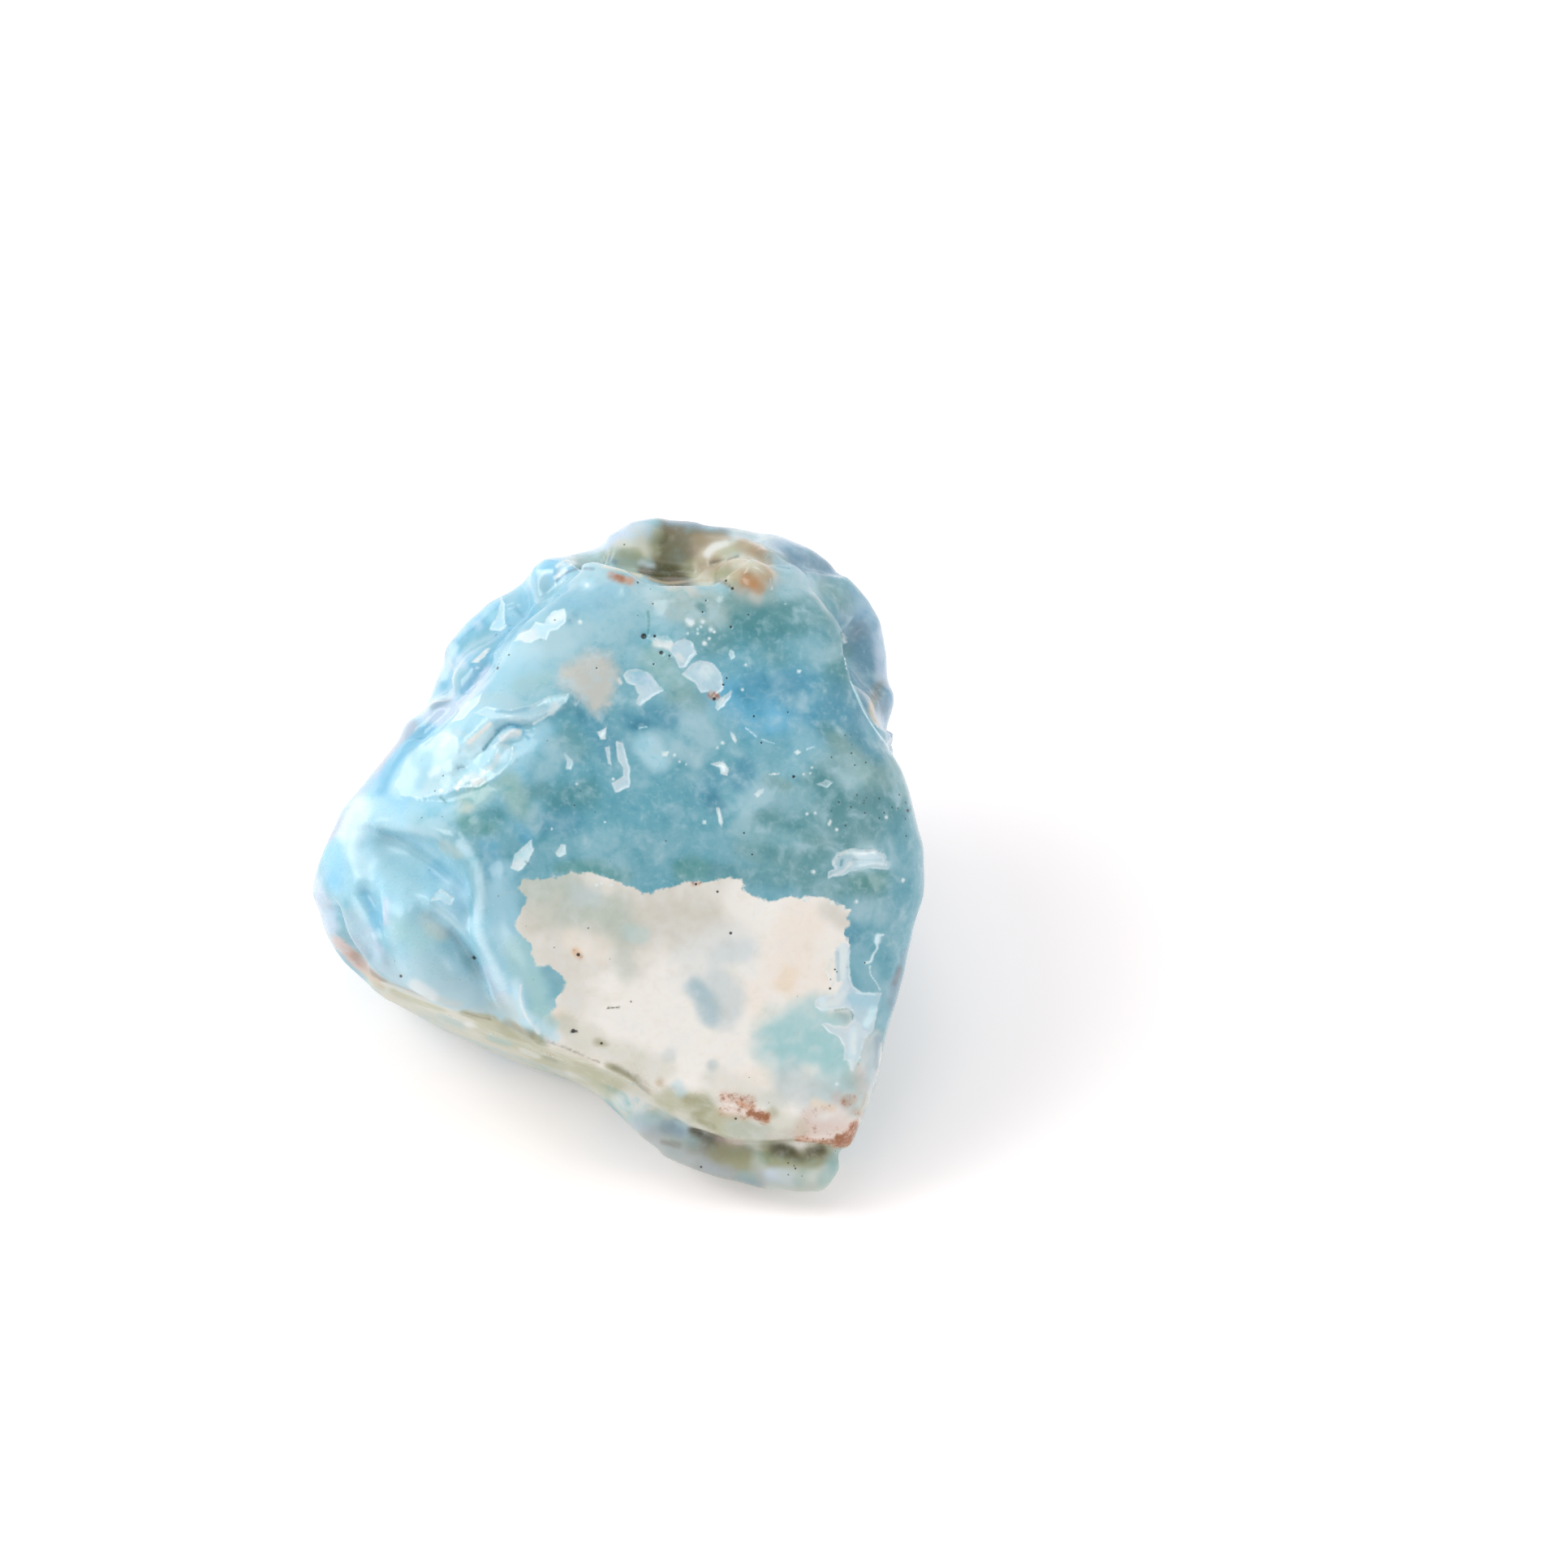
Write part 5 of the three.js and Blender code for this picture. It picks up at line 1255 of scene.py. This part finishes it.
def facet_shift(points, normals, tree):
    """How far each point moves along z to lie in its facet."""
    EDGE = 0.13  # how wide the slope inside a facet's outline is
    DEEPEST = 0.28  # how far the skin moves at most to face a lamp
    STEP = 0.06  # how far a facet that mirrors no lamp sinks
    shift = np.zeros(len(points))
    for (_, lamp, *_), (which, inside) in zip(FACETS, facet_depths(points, normals, tree)):
        here = points[which]
        inner = inside > 0
        change = np.full(len(which), -STEP)
        if lamp:
            middle = here[inner].mean(0)
            facing = mirror_normal(middle, lamp)
            plane = middle[2] - ((here[:, :2] - middle[:2]) @ facing[:2]) / facing[2]
            change = np.clip(plane - here[:, 2], -DEEPEST, DEEPEST)
        shift[which] = np.where(inner, change * smoothstep(inside, 0, EDGE), shift[which])
    return shift


def pit_marks(points, normals, tree):
    """How far each point sinks into a pit, as a vector, and how much of a dark grain it holds."""
    REACH = 2.5  # how many radii from its middle a pit is felt,
    MARGIN = 0.5  # and how much further its points are looked for
    DEPTH = 0.5  # how deep it is, in its radii
    sink = np.zeros_like(points)
    grain = np.zeros(len(points))
    for x, y, radius in PITS:
        spot = laid([(x, y)], tree)
        which = near(points, spot, REACH * radius + MARGIN)
        away = np.linalg.norm(points[which, :2] - spot[0, :2], axis=1) / radius
        mark = np.exp(-(away ** 2))
        sink[which] -= normals[which] * (DEPTH * radius * mark)[:, None]
        grain[which] = np.maximum(grain[which], mark)
    return sink, grain


def shaped(points, triangles, tree):
    """The stone's surface with all its relief, and how much of a dark grain each point holds."""
    BEFORE = 3  # how often the skin is smoothed before it gets its folds and lumps,
    AFTER = 2  # and after that
    points = smoothed(points, triangles, BEFORE)
    normals = vertex_normals(points, triangles)
    above_base = (points @ FACE_AXES.T + FACE_CENTRE)[:, 2]
    lift = fold_lift(points, normals, tree)
    for lumps in LUMPS:
        lift += waves(points, *lumps)
    lift += far_side_lift(points, normals)
    lift *= smoothstep(above_base, 0.0, BASE_BAND)
    points = smoothed(points + normals * lift[:, None], triangles, AFTER)
    normals = vertex_normals(points, triangles)
    points[:, 2] += facet_shift(points, normals, tree)
    sink, grain = pit_marks(points, normals, tree)
    return points + sink, grain


# ---------------------------------------------------------------- the stone's colours

SHEEN = 0.03  # how much white the polish adds to every colour
SPOT_STRENGTH = 0.95

# A brush stroke's sizes, in its radii:
STROKE_SOLID = 0.3  # how far out it covers in full,
STROKE_END = 1.4  # how far out it ends,
STROKE_WANDER = 0.4  # how far both of those wander,
STROKE_REACH = 1.8  # how far out its points are looked for,
STROKE_STEP = 0.4  # and how far apart the places along it are
LEAST_STEP = 0.1  # but in millimetres they are no closer than this


def albedo(name):
    """The linear colour of a surface that shows as the named colour."""
    channels = [c / 255 for c in COLOURS[name]]
    shown = [c / 12.92 if c <= 0.04045 else ((c + 0.055) / 1.055) ** 2.4 for c in channels]
    return np.array([max(c - SHEEN, 0) for c in shown] + [1.0])


class Canvas:
    """The stone's skin, to be painted from the front (side 1) or from behind (side -1)."""

    def __init__(self, points, tree, side=1):
        self.tree = tree
        self.side = side
        self.places = flattened(points, side)
        self.wander = STROKE_WANDER * fractal(points, wavelength=1.8, octaves=3, seed=7)

    def cover(self, radius, path):
        """Which points a soft-edged stroke covers, and how much, from 0 to 1."""
        curve = smooth_path(path, max(STROKE_STEP * radius, LEAST_STEP))
        track = flattened(laid(curve, self.tree, self.side), self.side)
        which = near(self.places, track, STROKE_REACH * radius)
        away, _ = nearest(self.places[which], track)
        out = away / radius + self.wander[which]
        return which, 1 - smoothstep(out, STROKE_SOLID, STROKE_END)

    def filled(self, name):
        """The named colour all over."""
        return np.tile(albedo(name), (len(self.places), 1))

    def painted(self, base, strokes):
        """The strokes laid in order over the base colours."""
        colours = base.copy()
        for name, radius, strength, path in strokes:
            which, cover = self.cover(radius, path)
            lay(colours, which, strength * cover, name)
        return colours

    def field(self, strokes):
        """The most that any of the strokes covers each point."""
        values = np.zeros(len(self.places))
        for radius, strength, path in strokes:
            which, cover = self.cover(radius, path)
            values[which] = np.maximum(values[which], strength * cover)
        return values


def lay(colours, which, cover, name):
    """Lay the named colour over some of the colours."""
    colours[which] += cover[:, None] * (albedo(name) - colours[which])


def lay_facets_with_highlights(colours, depths):
    """Lay the facets' pale colours, partly painted highlight, and their rims, which are painted highlights,
    over the colours.
    """
    RIM = 0.6  # how strong a facet's painted highlight rim is beside its colour
    EDGE = (-0.03, 0.06)  # the depths between which its colour sets in,
    RIM_EDGE = (-0.02, 0.04)  # those between which the rim does,
    RIM_END = (0.05, 0.2)  # and those between which the rim fades out
    for (_, _, colour, strength, _), (which, inside) in zip(FACETS, depths):
        rim = smoothstep(inside, *RIM_EDGE) * (1 - smoothstep(inside, *RIM_END))
        lay(colours, which, strength * smoothstep(inside, *EDGE), colour)
        lay(colours, which, RIM * strength * rim, "chalk")


def patch_depth(points, normals, outline):
    """How deep in a patch each point lies, in millimetres, and below 0 outside it."""
    RAGGED = 0.18  # how far its edge strays
    DEEPEST = 2  # what counts of the depth
    TURN = 10  # how fast it ends where the skin turns away from the viewer,
    RAGGED_TURN = 2  # and how ragged it is there
    moved = strays(points, wavelength=0.9, octaves=3, seeds=(5, 6))
    inside = -outline_distance(seen(points) + RAGGED * moved, outline)
    turned_away = TURN * normals[:, 2] - 1 + RAGGED_TURN * moved[:, 0]
    return np.clip(np.minimum(inside, turned_away), -DEEPEST, DEEPEST)


def colour_layers(front, back, depths):
    """The blue rock's and the pale rock's colours, painted highlights and shade included, given both
    canvases and the facets' depths.
    """
    rock = back.painted(front.filled("water"), BACK_STROKES)
    rock = front.painted(rock, ROCK_STROKES + BAND_STROKES)
    pale = front.painted(front.filled("cream"), PALE_STROKES + BAND_STROKES)
    lay_facets_with_highlights(rock, depths)
    lay_facets_with_highlights(pale, depths)
    # LINES and SPOTS hold painted highlights and painted shade as well as the rock's own marks.
    marks = LINES + [["chalk", radius, SPOT_STRENGTH, [(x, y)]] for x, y, radius in SPOTS]
    return {"rock": front.painted(rock, marks), "pale": front.painted(pale, marks)}


def mixing_fields(points, normals, front):
    """What the rocks are mixed, clouded, stained, freckled and roughened by."""
    return {
        "pale_patch": patch_depth(points, normals, PALE_PATCH),
        "tan_patch": patch_depth(points, normals, TAN_PATCH),
        "stain": front.field(STAINS),
        "calm": front.field(CALM),
        "freckles": front.field(FRECKLES),
        "rough": front.field(ROUGH),
    }


# ---------------------------------------------------------------- the stone's material

DEEP_TINT = (0.62, 0.84, 0.87, 1.0)  # what the blue rock's deeper clouds are multiplied by,
MOTTLE_TINT = (0.93, 0.92, 0.88, 1.0)  # the pale rock's mottling
CLOUD_TINT = (0.90, 0.89, 0.85, 1.0)  # and its clouds
MIDDLE = 0.5  # of every noise


class Graph:
    """Short calls that add nodes to a material, and the two noises that most of it shares."""

    def __init__(self, tree):
        self.tree = tree
        self.place = self.node("ShaderNodeTexCoord").outputs["Object"]
        self.cloud = self.noise(size=1.1, distortion=0.4, offset=0.11)
        self.mottle = self.noise(size=0.42, roughness=0.55, distortion=0.2, offset=0.23)

    def node(self, kind, settings=None, **inputs):
        node = self.tree.nodes.new(kind)
        for key, value in (settings or {}).items():
            setattr(node, key, value)
        for key, value in inputs.items():
            self.put(node.inputs[key.replace("_", " ")], value)
        return node

    def put(self, socket, value):
        if isinstance(value, bpy.types.NodeSocket):
            self.tree.links.new(value, socket)
        else:
            socket.default_value = value

    def attribute(self, name, output="Fac"):
        return self.node("ShaderNodeAttribute", {"attribute_name": name}).outputs[output]

    def math(self, operation, a, b):
        node = self.node("ShaderNodeMath", {"operation": operation})
        self.put(node.inputs[0], a)
        self.put(node.inputs[1], b)
        return node.outputs[0]

    def times(self, a, b):
        return self.math("MULTIPLY", a, b)

    def ragged(self, value, noise, amount):
        """The value, moved up and down by the noise."""
        return self.math("ADD", value, self.times(self.math("SUBTRACT", noise, MIDDLE), amount))

    def moved(self, offset):
        """The place on the stone, moved so that one noise doesn't repeat another."""
        node = self.node("ShaderNodeVectorMath", {"operation": "ADD"})
        self.put(node.inputs[0], self.place)
        node.inputs[1].default_value = (offset, 2 * offset, -offset)
        return node.outputs[0]

    def noise(self, size, detail=3.0, roughness=0.5, distortion=0.0, offset=0.0):
        """Noise with lumps of about size millimetres, from 0 to 1."""
        node = self.node("ShaderNodeTexNoise", Scale=1 / (size * MM), Detail=detail, Roughness=roughness,
                         Distortion=distortion, Vector=self.moved(offset))
        return node.outputs["Fac"]

    def cells(self, size, offset):
        """Distances to scattered points about size millimetres apart, in sizes, and a number for each."""
        node = self.node("ShaderNodeTexVoronoi", Scale=1 / (size * MM), Vector=self.moved(offset))
        parts = self.node("ShaderNodeSeparateColor", Color=node.outputs["Color"])
        return node.outputs["Distance"], parts.outputs[0]

    def ramp(self, value, low, high, to_low=0.0, to_high=1.0):
        """A smooth change from to_low to to_high as the value goes from low to high."""
        node = self.node("ShaderNodeMapRange", {"interpolation_type": "SMOOTHSTEP"})
        self.put(node.inputs["Value"], value)
        for key, number in (("From Min", low), ("From Max", high), ("To Min", to_low), ("To Max", to_high)):
            node.inputs[key].default_value = number
        return node.outputs["Result"]

    def mix(self, factor, a, b, blend="MIX"):
        FIRST, SECOND = 6, 7  # the node's sockets for colours
        node = self.node("ShaderNodeMix", {"data_type": "RGBA", "blend_type": blend})
        self.put(node.inputs[0], factor)
        self.put(node.inputs[FIRST], a)
        self.put(node.inputs[SECOND], b)
        return node.outputs[2]


def clouds(graph, colour, cloud, lively):
    """The colour with paler and deeper clouds in it, as far as it is lively."""
    PALER = 0.68  # how far the paler clouds turn to haze,
    DEEPER = 0.95  # and how far the deeper ones are tinted
    paler = graph.times(graph.ramp(cloud, MIDDLE, 0.8, to_high=PALER), lively)
    deeper = graph.times(graph.ramp(cloud, MIDDLE, 0.2, to_high=DEEPER), lively)
    colour = graph.mix(paler, colour, albedo("haze"))
    return graph.mix(deeper, colour, DEEP_TINT, "MULTIPLY")


def blue_rock(graph):
    """The blue rock's colour, clouded on three scales."""
    CALM_CLOUDS = 0.15  # how strong the clouds are where CALM is full,
    FINE_CLOUDS = 0.5  # and how strong the finest are everywhere
    lively = graph.ramp(graph.attribute("calm"), 0.0, 1.0, to_low=1.0, to_high=CALM_CLOUDS)
    broad = graph.noise(size=2.6, distortion=0.5)
    colour = clouds(graph, graph.attribute("rock", "Color"), broad, lively)
    colour = clouds(graph, colour, graph.cloud, lively)
    return clouds(graph, colour, graph.mottle, graph.times(lively, FINE_CLOUDS))


def pale_rock(graph):
    """The pale rock's colour, faintly clouded and mottled."""
    PEARLY = 0.3  # how far its paler clouds turn to pearl,
    MOTTLED = 0.5  # how far its mottling is tinted,
    CLOUDED = 0.6  # and its deeper clouds
    pearly = graph.ramp(graph.cloud, 0.45, 0.75, to_high=PEARLY)
    mottled = graph.ramp(graph.mottle, MIDDLE, 0.2, to_high=MOTTLED)
    clouded = graph.ramp(graph.cloud, MIDDLE, 0.2, to_high=CLOUDED)
    colour = graph.mix(pearly, graph.attribute("pale", "Color"), albedo("pearl"))
    colour = graph.mix(mottled, colour, MOTTLE_TINT, "MULTIPLY")
    return graph.mix(clouded, colour, CLOUD_TINT, "MULTIPLY")


def both_rocks(graph):
    """The blue rock with the patches of pale and tan rock in it."""
    CRISP = (-0.05, 0.12)  # the depths between which the pale patch sets in,
    VAGUE = (-0.4, 0.7)  # and the tan patch
    TAN = 0.82  # how strong the tan patch is
    depth = graph.ragged(graph.attribute("pale_patch"), graph.mottle, amount=0.5)
    colour = graph.mix(graph.ramp(depth, *CRISP), blue_rock(graph), pale_rock(graph))
    depth = graph.ragged(graph.attribute("tan_patch"), graph.mottle, amount=0.7)
    tan = graph.mix(graph.ramp(graph.cloud, 0.4, 0.7), albedo("sand"), albedo("dove"))
    return graph.mix(graph.ramp(depth, *VAGUE, to_high=TAN), colour, tan)


def stained(graph, colour):
    """The colour with iron stains: a warm haze, and dark spots in it."""
    HAZE = 0.6  # how strong the haze is,
    DARK = 0.9  # and how strong the spots are
    SPOTTY = (0.35, 1.1)  # the ragged stain's values between which the spots set in
    STAINED = (0.02, 0.4)  # and the stain's own, outside which there are none
    stain = graph.attribute("stain")
    specks = graph.noise(size=0.36, roughness=0.6, distortion=0.3, offset=0.41)
    spots = graph.ramp(graph.ragged(stain, specks, amount=2.2), *SPOTTY, to_high=DARK)
    spots = graph.times(spots, graph.ramp(stain, *STAINED))
    colour = graph.mix(graph.ramp(stain, 0.0, 1.0, to_high=HAZE), colour, albedo("rust"))
    return graph.mix(spots, colour, albedo("brick"))


def freckled(graph, colour):
    """The colour with scattered dark freckles, and the pits' dark grains."""
    LIKELIER = 0.5  # how much FRECKLES adds to a freckle's chance, which is its cell's number at first
    CHOSEN = (0.985, 0.995)  # the chances between which it sets in
    FRECKLE = 0.7  # how strong it is
    RADII = (0.22, 0.1)  # and where it starts and is full, in cells
    PITTED = (0.35, 0.7)  # how near a pit's middle its grain starts and is full,
    PIT = 0.9  # and how strong it is
    distance, number = graph.cells(size=0.42, offset=0.37)
    chance = graph.math("ADD", number, graph.times(graph.attribute("freckles"), LIKELIER))
    chosen = graph.ramp(chance, *CHOSEN, to_high=FRECKLE)
    freckle = graph.times(graph.ramp(distance, *RADII), chosen)
    pit = graph.ramp(graph.attribute("grain"), *PITTED, to_high=PIT)
    colour = graph.mix(freckle, colour, albedo("grain"))
    return graph.mix(pit, colour, albedo("grain"))


def polished(graph, colour):
    """A shader for the colour under a wet-looking polish, satin in places."""
    COARSE = 0.7  # the mottling's share in the fine relief,
    FINE = 0.3  # and that of a finer noise
    SATIN = 0.3  # how much rougher the satin stretches are
    fine = graph.noise(size=0.18, detail=2.0, offset=0.31)
    relief = graph.math("ADD", graph.times(graph.mottle, COARSE), graph.times(fine, FINE))
    bump = graph.node("ShaderNodeBump", Strength=0.1, Distance=0.04 * MM, Height=relief)
    satin = graph.times(graph.attribute("rough"), SATIN)
    roughness = graph.math("ADD", graph.ramp(graph.mottle, 0.3, 0.75, to_low=0.1, to_high=0.2), satin)
    return graph.node("ShaderNodeBsdfPrincipled", Base_Color=colour, Roughness=roughness,
                      Normal=bump.outputs[0], IOR=1.6, Subsurface_Weight=0.1, Subsurface_Scale=0.6 * MM)


def larimar_material():
    material = bpy.data.materials.new("larimar")
    material.use_nodes = True
    tree = material.node_tree
    tree.nodes.clear()
    graph = Graph(tree)
    shader = polished(graph, freckled(graph, stained(graph, both_rocks(graph))))
    output = graph.node("ShaderNodeOutputMaterial")
    tree.links.new(shader.outputs[0], output.inputs["Surface"])
    return material


# ---------------------------------------------------------------- the stone


def put_points(mesh, points):
    """Move the mesh's vertices to the points, none of them below the floor."""
    placed = face_to_row(points)
    placed[:, 2] = np.maximum(placed[:, 2], 0)
    mesh.vertices.foreach_set("co", placed.ravel())


def put_attributes(mesh, layers, fields):
    for name, values in fields.items():
        mesh.attributes.new(name, "FLOAT", "POINT").data.foreach_set("value", values)
    for name, colours in layers.items():
        mesh.attributes.new(name, "FLOAT_COLOR", "POINT").data.foreach_set("color", colours.ravel())


def stone_mesh(node):
    tree = smooth_surface(node)
    mesh = refined(node)
    triangles = triangles_of(mesh)
    points = row_to_face(coordinates(mesh))
    points = np.array([tree.find_nearest(Vector(p))[0] for p in points])
    points, grain = shaped(points, triangles, tree)
    skin = BVHTree.FromPolygons([Vector(p) for p in points], triangles.tolist())
    normals = vertex_normals(points, triangles)
    front = Canvas(points, skin)
    layers = colour_layers(front, Canvas(points, skin, -1), facet_depths(points, normals, skin))
    fields = {**mixing_fields(points, normals, front), "grain": grain}
    put_points(mesh, points)
    put_attributes(mesh, layers, fields)
    mesh.shade_smooth()
    mesh.materials.append(larimar_material())
    return mesh


def make_stone():
    stone = bpy.data.objects.new("larimar", stone_mesh(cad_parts[STONE]))
    bpy.context.scene.collection.objects.link(stone)
    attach(stone, "root")
    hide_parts(STONE)


# ---------------------------------------------------------------- studio

VIEW_WIDTH = 96.6  # how wide the picture is at the face frame's origin
AIM = (9.3, 4.7, 0.0)  # the middle of the picture
VIEWER = (0.0, 0.0, 1.0)  # the direction of the camera in the face frame

SKY = 0.92  # the soft light from all round
DARK_SIDE = 0.45  # the part of it that is left round the camera
DARK_WITHIN = 20  # how many degrees round the camera it is that dark,
BRIGHT_BEYOND = 55  # and beyond how many it is full

FLOOR_HALF = 3.0  # half the floor's side in metres
PAPER = (0.95, 0.90, 0.90, 1.0)
PAPER_ROUGHNESS = 0.9
PAPER_GLOW = 0.19


def make_camera():
    data = bpy.data.cameras.new("camera")
    data.sensor_width = 36
    data.lens = data.sensor_width * VIEW_DISTANCE / VIEW_WIDTH
    data.clip_start = 0.01
    camera = bpy.data.objects.new("camera", data)
    place = Vector(face_to_row((0, 0, VIEW_DISTANCE)))
    ahead = (Vector(face_to_row(AIM)) - place).normalized()
    right = ahead.cross(turned((0, 1, 0))).normalized()
    up = right.cross(ahead)
    axes = Matrix((right, up, -ahead)).transposed().to_4x4()
    camera.matrix_world = Matrix.Translation(place) @ axes
    bpy.context.scene.collection.objects.link(camera)
    bpy.context.scene.camera = camera


def make_lamps():
    middle = Vector(face_to_row((0, 0, 0)))
    for name, (direction, distance, width, height, radiance) in {**LAMPS, "fill": FILL}.items():
        data = bpy.data.lights.new(name, "AREA")
        data.shape = "RECTANGLE"
        data.size = width
        data.size_y = height
        data.energy = radiance * math.pi * width * height
        lamp = bpy.data.objects.new(name, data)
        away = turned(direction)
        lamp.location = middle + away * distance
        lamp.rotation_euler = away.to_track_quat("Z", "Y").to_euler()
        lamp.visible_glossy = name in LAMPS
        bpy.context.scene.collection.objects.link(lamp)


def make_sky():
    """Even white light from all round, dimmer on the side where the camera stands."""
    world = bpy.data.worlds.new("studio")
    world.use_nodes = True
    tree = world.node_tree
    place = tree.nodes.new("ShaderNodeTexCoord")
    towards = tree.nodes.new("ShaderNodeVectorMath")
    towards.operation = "DOT_PRODUCT"
    towards.inputs[1].default_value = turned(VIEWER)
    strength = tree.nodes.new("ShaderNodeMapRange")
    strength.interpolation_type = "SMOOTHSTEP"
    strength.inputs["From Min"].default_value = math.cos(math.radians(BRIGHT_BEYOND))
    strength.inputs["From Max"].default_value = math.cos(math.radians(DARK_WITHIN))
    strength.inputs["To Min"].default_value = SKY
    strength.inputs["To Max"].default_value = SKY * DARK_SIDE
    background = tree.nodes["Background"]
    background.inputs["Color"].default_value = (1.0, 1.0, 1.0, 1.0)
    tree.links.new(place.outputs["Generated"], towards.inputs[0])
    tree.links.new(towards.outputs["Value"], strength.inputs["Value"])
    tree.links.new(strength.outputs["Result"], background.inputs["Strength"])
    bpy.context.scene.world = world
    bpy.context.scene.view_settings.view_transform = "Standard"


def make_floor():
    sides = [(-1, -1), (1, -1), (1, 1), (-1, 1)]
    mesh = bpy.data.meshes.new("floor")
    mesh.from_pydata([(x * FLOOR_HALF, y * FLOOR_HALF, 0) for x, y in sides], [], [(0, 1, 2, 3)])
    material = bpy.data.materials.new("paper")
    material.use_nodes = True
    shader = material.node_tree.nodes["Principled BSDF"]
    shader.inputs["Base Color"].default_value = PAPER
    shader.inputs["Roughness"].default_value = PAPER_ROUGHNESS
    shader.inputs["Emission Color"].default_value = PAPER
    shader.inputs["Emission Strength"].default_value = PAPER_GLOW
    mesh.materials.append(material)
    floor = bpy.data.objects.new("floor", mesh)
    bpy.context.scene.collection.objects.link(floor)


make_camera()
make_lamps()
make_sky()
make_floor()
make_stone()
